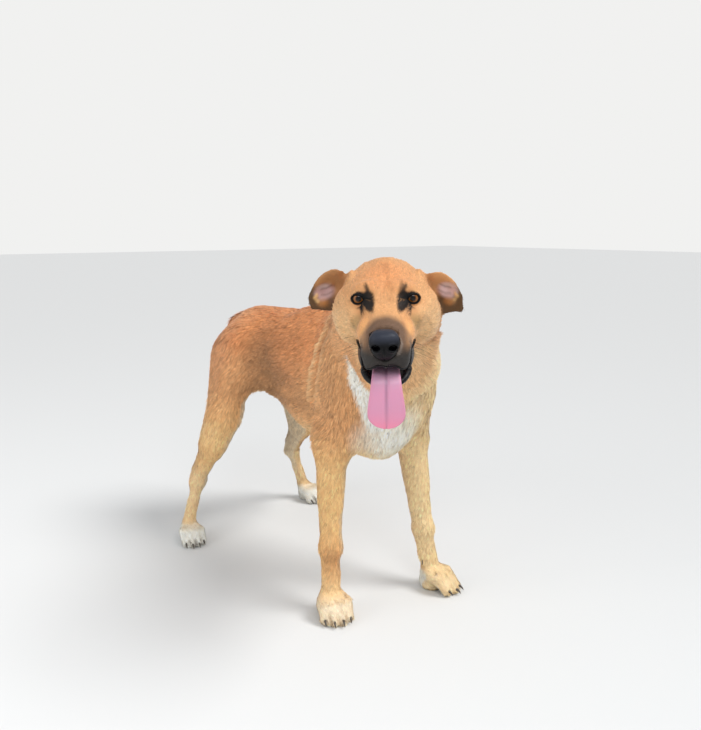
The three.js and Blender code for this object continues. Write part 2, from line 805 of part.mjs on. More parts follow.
const headSkin = await solidSkin(headAndBody, headLow, headHigh, 6.5, 1060);
add('head', trimmed(headSkin, across(headCut), around(jawCuts), ...sockets), COLOURS.coat);
add('lower_jaw', trimmed(headSkin.intersect(within(jawCuts)), swollen(tongue, GAP)), COLOURS.coat);
add('nose', nose, COLOURS.leather, 0.45);
add('tongue', tongue, COLOURS.tongue, 0.5);
['right', 'left'].forEach((name, i) => {
  add(`ear_${name}`, ears[i], COLOURS.coat);
  add(`eye_${name}`, eyes[i], COLOURS.eye, 0.2);
});

// the middle of the dog's box stands on the origin
const box = new THREE.Box3().setFromObject(dog);
dog.position.set(-(box.min.x + box.max.x) / 2, -(box.min.y + box.max.y) / 2, -box.min.z);

export default dog;
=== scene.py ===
# %% [markdown]
# # A short-coated dog, life size
#
# The frame gives the dog's solids: head, neck, trunk, legs, paws, ears, eyes, nose, tongue and claws. This
# lesson turns them into one skin with a short coat over it, and gives the bare parts (eyes, nose, lips,
# tongue and claws) their own fine shapes and finishes. Loading the frame comes first, because every place
# below is read from it.

# %% The frame
import math

import bpy
import numpy as np
from mathutils import Matrix, Vector
from mathutils.bvhtree import BVHTree


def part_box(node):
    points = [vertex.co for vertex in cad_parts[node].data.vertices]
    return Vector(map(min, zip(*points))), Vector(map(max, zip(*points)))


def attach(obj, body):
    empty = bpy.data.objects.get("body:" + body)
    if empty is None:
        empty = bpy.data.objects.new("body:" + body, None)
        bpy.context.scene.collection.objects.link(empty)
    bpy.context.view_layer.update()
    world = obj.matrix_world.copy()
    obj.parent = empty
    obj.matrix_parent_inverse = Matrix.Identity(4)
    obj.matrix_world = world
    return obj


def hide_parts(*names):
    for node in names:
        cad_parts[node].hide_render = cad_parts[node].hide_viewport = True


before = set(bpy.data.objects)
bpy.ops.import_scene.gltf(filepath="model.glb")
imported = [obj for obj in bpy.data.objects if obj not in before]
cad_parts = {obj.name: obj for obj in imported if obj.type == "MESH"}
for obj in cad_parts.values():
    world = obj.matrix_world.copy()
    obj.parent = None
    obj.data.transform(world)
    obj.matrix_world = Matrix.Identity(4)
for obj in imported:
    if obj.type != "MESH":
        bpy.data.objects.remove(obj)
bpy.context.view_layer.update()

scene = bpy.context.scene
scene.view_settings.view_transform = "Standard"

# %% [markdown]
# ## Units and small helpers
#
# Blender works in metres, but hairs and eyelids are easier to think of in millimetres. Points are therefore
# read out of a mesh in millimetres, moved as arrays, and written back.

# %% Reading and writing points
MM = 0.001
WELD = 0.02  # corners of a solid that lie nearer than this, in millimetres, are one corner


def unit(vectors):
    """Vectors scaled to length 1."""
    vectors = np.asarray(vectors, float)
    return vectors / np.maximum(np.linalg.norm(vectors, axis=-1, keepdims=True), 1e-9)


def soft(value, low, high):
    """0 below low, 1 above high, and a smooth step between."""
    t = np.clip((value - low) / (high - low), 0, 1)
    return t * t * (3 - 2 * t)


def read(rows, field, width, kind=np.float32):
    """The values of a field, so many to each row of one of a mesh's lists."""
    flat = np.empty(len(rows) * width, kind)
    rows.foreach_get(field, flat)
    return flat.reshape(-1, width)


def points_of(piece):
    return read(piece.data.vertices, "co", 3).astype(float) / MM


def move_points(piece, points):
    piece.data.vertices.foreach_set("co", (points * MM).astype(np.float32).ravel())
    piece.data.update()


def normals_of(piece):
    return read(piece.data.vertex_normals, "vector", 3).astype(float)


def middle(node):
    low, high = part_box(node)
    return np.array((low + high) / 2) / MM


def only(piece):
    """Selects one piece and makes it active, as a click on it does."""
    bpy.ops.object.select_all(action="DESELECT")
    piece.select_set(True)
    bpy.context.view_layer.objects.active = piece


def linked(name, data):
    """A new piece in the scene."""
    piece = bpy.data.objects.new(name, data)
    scene.collection.objects.link(piece)
    return piece


def on_whole(operator, **settings):
    """Runs a mesh operator on the whole of the active piece."""
    bpy.ops.object.mode_set(mode="EDIT")
    bpy.ops.mesh.select_all(action="SELECT")
    operator(**settings)
    bpy.ops.object.mode_set(mode="OBJECT")


def copy_of(nodes, name):
    """One new piece made of copies of CAD nodes, with their loose corners merged."""
    copies = []
    for node in nodes:
        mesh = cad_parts[node].data.copy()
        mesh.materials.clear()
        copies.append(linked(name, mesh))
    only(copies[0])
    for piece in copies:
        piece.select_set(True)
    if len(copies) > 1:
        bpy.ops.object.join()
    piece = bpy.context.object
    piece.name = piece.data.name = name
    on_whole(bpy.ops.mesh.remove_doubles, threshold=WELD * MM)
    return piece


print("helpers ready, one unit is", MM, "m")

# %% [markdown]
# ## The head's own directions
#
# The dog looks over its right shoulder, so the face is shaped in a frame of its own: x to the dog's left, y
# back along the skull, z up, with the origin between the eyes. The two eyes give x, and the nose gives how
# far the muzzle is lowered.

# %% The head's frame
EYE_DEPTH = 4  # the eyeballs' middles lie this far behind the origin
NOSE_BELOW = math.radians(13)  # from the muzzle's line down to the middle of the nose

eyes = {side: middle(f"eye_{side}") for side in ("right", "left")}
head_x = unit(eyes["left"] - eyes["right"])
from_nose = (eyes["left"] + eyes["right"]) / 2 - middle("nose")
from_nose = unit(from_nose - from_nose.dot(head_x) * head_x)
head_y = math.cos(NOSE_BELOW) * from_nose - math.sin(NOSE_BELOW) * np.cross(head_x, from_nose)
head_z = np.cross(head_x, head_y)
head_axes = np.array([head_x, head_y, head_z])
head_origin = (eyes["left"] + eyes["right"]) / 2 - EYE_DEPTH * head_y
EYE_SPREAD = float(np.linalg.norm(eyes["left"] - eyes["right"]) / 2)


def to_head(points):
    return (np.asarray(points, float) - head_origin) @ head_axes.T


def from_head(points):
    return np.asarray(points, float) @ head_axes + head_origin


print("head y", head_y.round(3), "z", head_z.round(3), "eye spread", round(EYE_SPREAD, 2))

# %% [markdown]
# ## Camera, floor and light
#
# The camera stands at a crouching person's eye height, a little over a metre in front of the dog's face and
# to its right. It is placed from the point between the eyes, so that it stays with the head. The floor is
# plain and pale. A wide, soft sun from above gives the coat its form, and an even world fills the shadows,
# as a bright cloudy day does.

# %% Camera
CAMERA_FROM_EYES = np.array([-653.1, -786.3, 96.0])
LOOKS = unit([0.602, 0.799, -0.1851])  # along the camera's own middle line
LENS, SENSOR = 36.49, 36  # the sensor is measured along its longer side

camera = linked("camera", bpy.data.cameras.new("camera"))
scene.camera = camera
camera.data.lens = LENS
camera.data.sensor_width = SENSOR
camera.location = (head_origin + CAMERA_FROM_EYES) * MM
camera.rotation_euler = Vector(LOOKS).to_track_quat("-Z", "Y").to_euler()
print("camera at", [round(v, 3) for v in camera.location])

# %% Floor
FLOOR_SIZE, FLOOR_ROUGHNESS, FLOOR_COLOUR = 40, 0.9, (0.72, 0.72, 0.71, 1)

bpy.ops.mesh.primitive_plane_add(size=FLOOR_SIZE)
floor = bpy.context.object
floor.name = "floor"
floor_paint = bpy.data.materials.new("floor_paint")
floor_paint.use_nodes = True
floor_shader = floor_paint.node_tree.nodes["Principled BSDF"]
floor_shader.inputs["Base Color"].default_value = FLOOR_COLOUR
floor_shader.inputs["Roughness"].default_value = FLOOR_ROUGHNESS
floor.data.materials.append(floor_paint)
print("floor", FLOOR_SIZE, "m across")

# %% Light
WORLD_FILL, FILL_COLOUR, BACKDROP_COLOUR = 0.53, (0.95, 0.97, 1.0, 1), (0.88, 0.88, 0.87, 1)
SUN_POWER, SUN_SPREAD, SUN_PLACE = 2.12, math.radians(28), (1.05, -1.4, 2.7)
WINDOW_POWER, WINDOW_SIZE, WINDOW_COLOUR = 13, (1.15, 0.6), (0.86, 0.93, 1)
WINDOW_PLACE, WINDOW_AIM = (-0.85, -1.5, 1.75), (-0.12, -0.3, 0.55)
WALL_POWER, WALL_SIZE, WALL_PLACE, WALL_AIM = 15, 1.6, (-2.3, 0.3, 1.1), (0, 0.1, 0.35)

world = bpy.data.worlds.new("even_light")
scene.world = world
world.use_nodes = True
nodes, links = world.node_tree.nodes, world.node_tree.links
fill = nodes["Background"]
fill.inputs["Color"].default_value = FILL_COLOUR
fill.inputs["Strength"].default_value = WORLD_FILL
backdrop = nodes.new("ShaderNodeBackground")
backdrop.inputs["Color"].default_value = BACKDROP_COLOUR
path = nodes.new("ShaderNodeLightPath")
chooser = nodes.new("ShaderNodeMixShader")
links.new(path.outputs["Is Camera Ray"], chooser.inputs[0])
links.new(fill.outputs[0], chooser.inputs[1])
links.new(backdrop.outputs[0], chooser.inputs[2])
links.new(chooser.outputs[0], nodes["World Output"].inputs["Surface"])


def lamp(name, kind, power, place, aim=(0, 0, 0.4), colour=(1, 1, 1)):
    data = bpy.data.lights.new(name, kind)
    data.energy = power
    data.color = colour
    piece = linked(name, data)
    piece.location = place
    piece.rotation_euler = (Vector(aim) - Vector(place)).to_track_quat("-Z", "Y").to_euler()
    return data


lamp("high_sun", "SUN", SUN_POWER, SUN_PLACE).angle = SUN_SPREAD
window = lamp("window", "AREA", WINDOW_POWER, WINDOW_PLACE, WINDOW_AIM, WINDOW_COLOUR)
window.shape = "RECTANGLE"
window.size, window.size_y = WINDOW_SIZE
lamp("pale_wall", "AREA", WALL_POWER, WALL_PLACE, WALL_AIM).size = WALL_SIZE
print("lit by the world, a soft sun and two soft lamps")

# %% [markdown]
# ## One skin over the whole body
#
# The frame's flesh is cut into named pieces with thin gaps between them, and each is faceted. On the real
# dog it is one skin. Copies of the pieces are joined, fattened by a hair so that the gaps close, and
# remeshed into a closed surface of even faces. A remesh is chosen over a boolean union because the
# smoothing and shaping after it need even faces. The face and the toes need finer faces than the body, so
# they are remeshed apart, and each part is cut off at a plane and bridged to the next.

# %% Remeshing the flesh
SIDES = ("right", "left")
PAWS = ("fore_right", "fore_left", "hind_right", "hind_left")
LEG_PARTS = ("foreleg", "thigh", "hindleg", "paw_fore", "paw_hind")
LEGS = [f"{part}_{side}" for part in LEG_PARTS for side in SIDES]
HEAD = ["neck", "head", "lower_jaw", "ear_right", "ear_left"]
FLESH = ["trunk", "tail", *HEAD, *LEGS]
CLOSE_GAPS = 0.35  # how far each piece is fattened, in millimetres
FACE_SIZES = {"body": 5.0, "head": 1.9, "paws": 2.6}


def remeshed(nodes, name, face):
    piece = copy_of(nodes, name)
    on_whole(bpy.ops.transform.shrink_fatten, value=CLOSE_GAPS * MM)
    piece.data.remesh_voxel_size = face * MM
    piece.data.remesh_voxel_adaptivity = 0
    bpy.ops.object.voxel_remesh()
    print(name, "has", len(piece.data.polygons), "faces")
    return piece


def keep_beyond(piece, point, normal):
    """Cuts a piece at a plane and keeps what lies beyond it."""
    only(piece)
    on_whole(bpy.ops.mesh.bisect, plane_co=point * MM, plane_no=normal, clear_inner=True)


skin = remeshed(FLESH, "skin", FACE_SIZES["body"])
fine_head = remeshed([*HEAD, "nose", "eye_right", "eye_left"], "fine_head", FACE_SIZES["head"])
fine_paws = remeshed(LEGS, "fine_paws", FACE_SIZES["paws"])

# %% [markdown]
# The planes: one through the neck behind the ears, and one level plane above the paws. The two sides of
# each cut are kept a small step apart, so that bridging their open edges makes a narrow band of good faces.

# %% Cutting and bridging
BAND = 1.5  # half the step between the two open edges
NECK_PLANE = (from_head([0, 98, -26]), unit(0.93 * head_y - 0.37 * head_z))
ANKLE = 92  # the height of the plane above the paws
ANKLE_REACH = 75  # how far from a paw's middle the cut through its leg can lie
UP = np.array([0.0, 0.0, 1.0])

neck_point, neck_normal = NECK_PLANE
keep_beyond(skin, neck_point + BAND * neck_normal, neck_normal)
keep_beyond(skin, (ANKLE + BAND) * UP, UP)
keep_beyond(fine_head, neck_point - BAND * neck_normal, -neck_normal)
keep_beyond(fine_paws, (ANKLE - BAND) * UP, -UP)

only(skin)
fine_head.select_set(True)
fine_paws.select_set(True)
bpy.ops.object.join()


def bridge(where):
    """Bridges the open edges whose corners the test picks."""
    bpy.ops.object.mode_set(mode="EDIT")
    bpy.ops.mesh.select_mode(type="EDGE")
    bpy.ops.mesh.select_all(action="DESELECT")
    bpy.ops.mesh.select_non_manifold(
        use_wire=False, use_multi_face=False, use_non_contiguous=False, use_verts=False,
    )
    bpy.ops.object.mode_set(mode="OBJECT")
    inside = where(points_of(skin))
    open_edges = read(skin.data.edges, "select", 1, bool)[:, 0]
    picked = open_edges & inside[read(skin.data.edges, "vertices", 2, np.int32)].all(axis=1)
    bpy.ops.object.mode_set(mode="EDIT")
    bpy.ops.mesh.select_all(action="DESELECT")
    bpy.ops.object.mode_set(mode="OBJECT")
    skin.data.edges.foreach_set("select", picked)
    bpy.ops.object.mode_set(mode="EDIT")
    bpy.ops.mesh.bridge_edge_loops()
    bpy.ops.object.mode_set(mode="OBJECT")


bridge(lambda points: points[:, 2] > 2 * ANKLE)
for end in PAWS:
    bridge(lambda points: np.linalg.norm((points - middle(f"paw_{end}"))[:, :2], axis=1) < ANKLE_REACH)
on_whole(bpy.ops.mesh.normals_make_consistent, inside=False)
print("one skin", len(skin.data.polygons), "faces")

# %% [markdown]
# ## Evening the facets
#
# The remesh still shows the facets of the solids. They are smoothed as with the sculpting brush: each point
# moves towards the middle of its neighbours, then a little back, so that the form keeps its volume. The
# trunk's facets are the largest and take the most rounds, as does the head; the toes take the fewest.

# %% Which part each point of the skin belongs to
def nearest_part(points):
    """The number in FLESH of the solid nearest each point."""
    corners, faces, owners = [], [], []
    for number, node in enumerate(FLESH):
        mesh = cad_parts[node].data
        first = len(corners)
        corners += [vertex.co.copy() for vertex in mesh.vertices]
        faces += [[first + i for i in polygon.vertices] for polygon in mesh.polygons]
        owners += [number] * len(mesh.polygons)
    tree = BVHTree.FromPolygons(corners, faces)
    return np.array([owners[tree.find_nearest(point)[2]] for point in points * MM])


ends = read(skin.data.edges, "vertices", 2, np.int32)
COUNT = len(skin.data.vertices)
one_way, other_way = ends.ravel(), ends[:, ::-1].ravel()
degree = np.bincount(one_way, minlength=COUNT)[:, None]


def around(values):
    """The mean of each point's neighbours."""
    columns = [np.bincount(one_way, values[other_way, i], COUNT) for i in range(values.shape[1])]
    return np.stack(columns, axis=1) / degree


def spread(values, rounds):
    """Values, one or more for each point, run together over the skin."""
    values = values.reshape(COUNT, -1).astype(float)
    for _ in range(rounds):
        values = 0.5 * values + 0.5 * around(values)
    return values


def by_part(amounts, parts):
    """A value for each part's number from a table whose keys begin the parts' names."""
    each = [next(v for k, v in amounts.items() if node.startswith(k)) for node in FLESH]
    return np.array(each, float)[parts]


part = nearest_part(points_of(skin))
print("points on each part", np.bincount(part).tolist())

# %% Smoothing
ROUNDS = {
    "trunk": 30, "neck": 24, "tail": 12, "thigh": 24, "foreleg": 12, "hindleg": 12, "head": 30, "lower": 12,
    "paw": 9, "ear": 12,
}
ROUNDS_BLEND = 12  # how far the rounds of one part run into those of the next
INWARDS, OUTWARDS = 0.6, -0.62

points = points_of(skin)
rounds = spread(by_part(ROUNDS, part), ROUNDS_BLEND)
for done in range(int(rounds.max())):
    share = np.clip(rounds - done, 0, 1)
    for step in (INWARDS, OUTWARDS):
        points += step * share * (around(points) - points)
move_points(skin, points)
only(skin)
bpy.ops.object.shade_smooth()
print("smoothed", len(points), "points")

# %% [markdown]
# ## Shaping with brushes
#
# Each stroke moves the points near a place, most in its middle and less towards its edge, along their
# normals or towards a direction. On the head every stroke is made on both sides. A stroke along a line
# makes a fold or a crease.

# %% Brushes
def turned(direction):
    """A direction in the head's frame, turned into the model's."""
    return np.asarray(direction, float) @ head_axes


def near(places, centre, reach):
    """1 at a place, falling softly to 0 at its reach along each axis."""
    return np.clip(1 - (((places - centre) / reach) ** 2).sum(axis=1), 0, 1) ** 2


def line_distance(places, line):
    """The distance of each place from a line of straight runs."""
    best = np.full(len(places), np.inf)
    for start, end in zip(np.asarray(line, float)[:-1], np.asarray(line, float)[1:]):
        run = end - start
        along = np.clip((places - start) @ run / (run @ run), 0, 1)
        best = np.minimum(best, np.linalg.norm(places - start - along[:, None] * run, axis=1))
    return best


def near_line(places, line, reach):
    return np.clip(1 - (line_distance(places, line) / reach) ** 2, 0, 1) ** 2


def press(weights, push, toward=None):
    """Moves the skin by a push times each point's weight."""
    way = normals_of(skin) if toward is None else unit(toward)
    move_points(skin, points_of(skin) + push * np.asarray(weights)[:, None] * way)


def both(shape):
    """A head weight and its mirror image: shape gets the places with x counted outwards."""
    at = to_head(points_of(skin))
    return [(side, np.where(side * at[:, 0] > -3, shape(at * [side, 1, 1]), 0)) for side in (-1, 1)]


def stroke(centre, reach, push, toward=None):
    """One stroke on each side of the head; its direction is given for the dog's left side."""
    for side, weight in both(lambda at: near(at, centre, reach)):
        press(weight, push, None if toward is None else turned(np.array(toward) * [side, 1, 1]))


def ease(weights, rounds):
    """Smooths the skin where the weights are high."""
    points = points_of(skin)
    weights = np.asarray(weights).reshape(-1, 1)
    for _ in range(rounds):
        points += 0.6 * weights * (around(points) - points)
    move_points(skin, points)


print("brushes ready")

# %% [markdown]
# Where two parts of the frame meet at an angle, the skin of the dog runs on in one sweep. The joins are
# evened first.

# %% Easing the neck into the chest and the legs into the paws
BREAST = ((50, -212, 402), (85, 60, 46))  # a place and its reach
SHOULDER_POINT = ((96, -182, 398), (46, 60, 62))

on_trunk, on_neck = (spread(part == FLESH.index(name), 14)[:, 0] for name in ("trunk", "neck"))
ease(np.clip(6 * on_trunk * on_neck, 0, 1), 60)
ease(near(points_of(skin), *BREAST) ** 0.5, 120)
press(near(points_of(skin), *SHOULDER_POINT), 5.0)
height = points_of(skin)[:, 2]
ease(soft(height, 34, 56) * soft(-height, -120, -96), 24)
print("joins eased")

# %% [markdown]
# The open mouth is marked first, while its wedge between the jaws is still plain: what faces it stays bare,
# and is painted black as the shade inside the open mouth.

# %% The inside of the mouth
MOUTH_BACK = np.array([-28.0, -60.0])  # the corner of the lips, as y and z in the head's frame
MOUTH_FRONT = np.array([-130.0, -82.0])
MOUTH_HALF = (3.0, 21.0)  # half the opening at its back and front
LOWER_LIP = [  # x, y, z in the head's frame and the radius, from the corner of the mouth to the middle
    (42, -9, -62, 1.2), (41.5, -16, -64, 2.6), (38.5, -32, -71, 3.9), (33.5, -50, -79.5, 4.4),
    (27, -66, -87, 4.6), (19, -78, -91, 4.0), (8, -86, -94, 3.2), (0, -87.5, -94.5, 2.8),
]


def beside_lip(line, places, column):
    """A lip line's x or z beside each place, read along the muzzle."""
    line = np.array(sorted(line, key=lambda corner: -corner[1]))
    return np.interp(-places[:, 1], -line[:, 1], line[:, column])


at_rest = to_head(points_of(skin))
run = MOUTH_FRONT - MOUTH_BACK
along = (at_rest[:, 1:] - MOUTH_BACK) @ run / (run @ run)
off_line = np.abs((at_rest[:, 1:] - MOUTH_BACK) @ [-run[1], run[0]]) / np.linalg.norm(run)
half_open = MOUTH_HALF[0] + (MOUTH_HALF[1] - MOUTH_HALF[0]) * along
mouth = soft(half_open + 2.6 - off_line, 0, 1.6) * soft(along, -0.09, -0.03) * soft(1.1 - along, 0, 0.1)
mouth *= np.abs(at_rest[:, 0]) < 60
lip_height = beside_lip(LOWER_LIP, at_rest, 2)
on_jaw = part == FLESH.index("lower_jaw")
upwards = normals_of(skin) @ head_z
above_lip = np.maximum(soft(at_rest[:, 2] - lip_height, -3.0, 0), soft(upwards, 0.1, 0.5))
mouth = np.maximum(mouth, on_jaw * above_lip * soft(-at_rest[:, 1], 6, 14))
print("mouth", int((mouth > 0.5).sum()), "points")

# %% [markdown]
# ## The face
#
# A young shepherd cross: a broad skull with a shallow furrow, a wide bridge, full cheeks, and flews that
# hang a little below the line of the mouth.

# %% Shaping the head
STROKES = {  # a place, its reach, the push and its direction, on the dog's left side
    "hollow beside the bridge": ((19, -26, 2), (15, 30, 16), 5.0, (0.45, -0.3, 0.85)),
    "inner corner of the eye": ((25, -12, -6), (12, 13, 13), 3.5, (-0.2, -0.9, 0.3)),
    "side of the muzzle": ((31, -34, -28), (16, 30, 20), 4.5, (0.85, -0.2, 0.4)),
    "flew": ((24, -80, -52), (17, 26, 17), 3.5, (0.9, -0.2, -0.3)),
    "flew's edge": ((22, -84, -60), (22, 28, 14), 11.0, (0.1, 0.0, -1.0)),
    "lower jaw's side": ((22, -52, -92), (20, 46, 15), 7.5, (1.0, 0.0, 0.1)),
    "cheek": ((60, 20, -34), (26, 34, 26), 2.0, None),
    "edge of the cheek": ((72, 46, -38), (16, 24, 22), 3.0, (1.0, 0.0, 0.1)),
    "beside the crown": ((21, 82, 30), (17, 40, 14), -1.6, None),
    "front of the upper lip": ((0, -100, -54), (16, 18, 12), 4.0, (0.0, 0.0, -1.0)),
    "side crease of the muzzle": ((39, -20, -25), (8, 22, 12), -2.6, None),
    "ridge along the muzzle": ((33, -44, -20), (7, 20, 14), 1.6, None),
    "tip of the ear": ((117, 56, -31), (12, 16, 13), -5.0, (1.0, 0.0, -0.6)),
    "between skull and ear": ((54, 68, 12), (15, 26, 18), 10.0, (0.0, 0.0, 1.0)),
    "hollow of the ear": ((89, 68, -9), (16, 18, 13), 7.0, (0.1, 1.0, 0.0)),
    "fold of the ear": ((103, 62, -14), (7, 10, 5.5), 4.5, (0.0, -1.0, 0.2)),
    "lower fold of the ear": ((93, 63, -26), (13, 14, 9), 4.0, (0.0, -1.0, 0.0)),
}
EASED = (  # a place, its reach and the rounds of easing
    ((30, -30, -10), (34, 60, 40), 6), ((26, -2, 16), (26, 26, 18), 26), ((58, 68, 17), (17, 26, 15), 40),
    ((117, 56, -30), (15, 24, 17), 40), ((112, 60, -12), (16, 24, 26), 14), ((90, 62, -40), (26, 20, 12), 14),
)
FURROW, FURROW_DEPTH = ((0, 24, 28), (6, 52, 30)), 2.2

for centre, reach, push, toward in STROKES.values():
    stroke(centre, reach, push, toward)
for centre, reach, times in EASED:
    ease(sum(weight for _, weight in both(lambda at: near(at, centre, reach))), times)
press(near(to_head(points_of(skin)), *FURROW), -FURROW_DEPTH)
print("head shaped by", len(STROKES), "strokes")

# %% [markdown]
# ## Eyes and eyelids
#
# The lids are a thin shell over the eyeball with an almond opening. The opening is laid out as two arcs on
# a flat sheet before the eye. Skin outside the arcs is brought on to the shell, and skin inside them is
# tucked in behind the ball. The black rims are tubes along the two arcs, which give the lids their
# thickness and hide the skin's edge.

# %% The almond opening
BALL = 11.5  # the eyeball's radius
SHELL = 12.5  # the lids' radius
LID_FALL = 0.05  # how much further out the lids lie with each millimetre from their edge
OPENS_OUT, OPENS_UP = math.radians(9), math.radians(11)
OPENING_TILT = math.radians(5)  # the outer corner is the higher
OPENING_HALF, LID_RISE, LID_DROP = 11.6, 6.6, 6.5
EYE_REACH, EYE_FACING = 34, 0.2  # skin further than this from the ball, or facing less its way, stays
TUCK = 2.2  # how far under the ball's surface the skin inside the opening goes
CREASE_AT, CREASE_HALF, CREASE_DEPTH = 4.2, 1.1, 0.7  # the crease above the upper lid
LID_SLOPE = 0.12  # as LID_FALL, before the lids are eased
LID_FROM, LID_TO = -10.5, -2.0  # where the skin starts to follow the ball, and where it lies on it
LEAST_COVER = 1.6  # how far over the ball the skin round the opening has to lie


def eye_axes(side, out=OPENS_OUT, up=OPENS_UP, tilt=OPENING_TILT):
    """Forward, outward and upward directions of one eye in the head's frame."""
    forward = np.array([side * math.sin(out) * math.cos(up), -math.cos(out) * math.cos(up), math.sin(up)])
    outward = side * unit(np.cross([0, 0, 1.0], forward))
    upward = unit(np.array([0, 0, 1.0]) - forward[2] * forward)
    level, rise = math.cos(tilt), math.sin(tilt)
    return forward, outward * level + upward * rise, upward * level - outward * rise


def arc(height):
    """How far behind its chord an arc's middle lies, and its radius."""
    behind = (OPENING_HALF**2 - height**2) / (2 * height)
    return behind, behind + height


def opening_depth(x, z):
    """How far inside the opening a place lies, in millimetres; negative outside."""
    (above, above_radius), (below, below_radius) = arc(LID_RISE), arc(LID_DROP)
    return np.minimum(above_radius - np.hypot(x, z + above), below_radius - np.hypot(x, z - below))


def eye_middle(side):
    return np.array([side * EYE_SPREAD, EYE_DEPTH, 0.0])


def from_ball(side):
    """The way from one eyeball's middle to each point of the skin, in the head's frame, and its length."""
    away = to_head(points_of(skin)) - eye_middle(side)
    return away, np.linalg.norm(away, axis=1)


def move_from_ball(side, away, share, picked):
    """Puts the picked points at a share of their way from one eyeball's middle."""
    points = points_of(skin)
    points[picked] = from_head(away * share[:, None] + eye_middle(side))[picked]
    move_points(skin, points)


lid_depth = np.full(COUNT, -99.0)
for side in (-1, 1):
    forward, outward, upward = eye_axes(side)
    away, radius = from_ball(side)
    facing = away @ forward / radius
    flat = SHELL / np.maximum(facing, EYE_FACING) / radius
    x, z = (away @ outward) * flat, (away @ upward) * flat
    depth = np.where((facing > EYE_FACING) & (radius < EYE_REACH), opening_depth(x, z), -99)
    lid_depth = np.maximum(lid_depth, depth)
    crease = -CREASE_DEPTH * np.exp(-(((depth + CREASE_AT) / CREASE_HALF) ** 2)) * (z > 2)
    shell = SHELL + LID_SLOPE * np.clip(-depth, 0, 6) + crease
    wanted = np.where(depth > 0, BALL - TUCK, shell)
    share = soft(depth, LID_FROM, LID_TO)
    reached = (1 - share) * radius + share * wanted
    cover = BALL + LEAST_COVER * soft(facing, -0.5, EYE_FACING)
    reached = np.where((depth <= 0) & (facing > -0.5), np.maximum(reached, cover), reached)
    move_from_ball(side, away, reached / radius, depth > -40)
near_lids = lid_depth > -40
ease(soft(-lid_depth, 3.2, 5.5) * soft(22 + lid_depth, 0, 8) * near_lids, 16)
for rounds_here in (2, 2, 2, 0):
    ease(soft(-lid_depth, 2.5, 6.0) * near_lids, rounds_here)
    for side in (-1, 1):
        away, radius = from_ball(side)
        outside = (lid_depth <= 0) & near_lids & (away @ eye_axes(side)[0] > -0.3 * radius)
        least = SHELL + LID_FALL * np.clip(-lid_depth, 0, 8)
        move_from_ball(side, away, np.maximum(radius, least) / radius, outside)
print("lids laid over the eyeballs")

# %% [markdown]
# ## Eyeballs
#
# Each ball is a sphere whose poles point along the gaze, so that its UV map runs from the pupil outwards.
# The clear front stands out a little, as a cornea does. A ball with a modelled pupil would need more faces
# for the same look.

# %% Eyeballs
GAZE_OUT, GAZE_UP = math.radians(-2), math.radians(14)
IRIS = math.radians(39)  # half the angle that the iris covers
CORNEA = 0.9  # how far the cornea stands out


def settle(piece):
    """Puts a piece's place, turn and size into its mesh."""
    only(piece)
    bpy.ops.object.transform_apply(location=True, rotation=True, scale=True)


def from_head_turn(forward, upward):
    """The turn that brings +z to a direction of the head's frame, with y near another."""
    z_axis = turned(forward)
    x_axis = unit(np.cross(turned(upward), z_axis))
    return Matrix(np.array([x_axis, np.cross(z_axis, x_axis), z_axis]).T.tolist()).to_euler()


eyeballs = {}
for name, side in zip(SIDES, (-1, 1)):
    forward, outward, upward = eye_axes(side, GAZE_OUT, GAZE_UP, 0)
    bpy.ops.mesh.primitive_uv_sphere_add(segments=64, ring_count=48, radius=BALL * MM)
    ball = bpy.context.object
    ball.name = ball.data.name = f"eyeball_{name}"
    places = points_of(ball)
    angle = np.arccos(np.clip(places[:, 2] / BALL, -1, 1))
    places *= (1 + CORNEA / BALL * soft(np.cos(angle), math.cos(IRIS * 1.12), 1))[:, None]
    move_points(ball, places)
    ball.rotation_euler = from_head_turn(forward, upward)
    ball.location = from_head(eye_middle(side)) * MM
    settle(ball)
    bpy.ops.object.shade_smooth()
    eyeballs[name] = ball
print("eyeballs", 2 * BALL, "mm across")

# %% [markdown]
# Lid edges, lips and whiskers are round tubes along smooth lines. A curve with a bevel makes them all: it
# takes a radius at each place and closes the ends.

# %% A tube along a line
def smooth_line(corners, count):
    """A smooth line through corners, as so many places evenly along it (a Catmull-Rom line)."""
    corners = np.asarray(corners, float)
    ends = np.vstack([2 * corners[0] - corners[1], corners, 2 * corners[-1] - corners[-2]])
    fine = []
    for a, b, c, d in zip(ends, ends[1:], ends[2:], ends[3:]):
        t = np.linspace(0, 1, 24, endpoint=False)[:, None]
        fine.append(
            0.5 * (2 * b + (c - a) * t + (2 * a - 5 * b + 4 * c - d) * t**2 + (3 * b - a - 3 * c + d) * t**3)
        )
    fine = np.vstack([*fine, corners[-1:]])
    length = np.concatenate([[0], np.cumsum(np.linalg.norm(np.diff(fine[:, :3], axis=0), axis=1))])
    wanted = np.linspace(0, length[-1], count)
    return np.stack([np.interp(wanted, length, fine[:, i]) for i in range(fine.shape[1])], axis=1)


def tube(lines, name, sides=3):
    """One piece of round tubes; each line's places are x, y, z in the head's frame and the radius there."""
    curve = bpy.data.curves.new(name, "CURVE")
    curve.dimensions = "3D"
    curve.bevel_depth = MM
    curve.bevel_resolution = sides
    curve.use_fill_caps = True
    for line in lines:
        spline = curve.splines.new("POLY")
        spline.points.add(len(line) - 1)
        places = from_head(line[:, :3]) * MM
        flat = np.hstack([places, np.ones((len(line), 1))]).ravel()
        spline.points.foreach_set("co", flat)
        spline.points.foreach_set("radius", line[:, 3])
    piece = linked(name, curve)
    only(piece)
    bpy.ops.object.convert(target="MESH")
    piece = bpy.context.object
    piece.name = piece.data.name = name
    bpy.ops.object.shade_smooth()
    return piece


print("tubes ready")

# %% Eyelid rims
RIM_RADIUS = 12.35


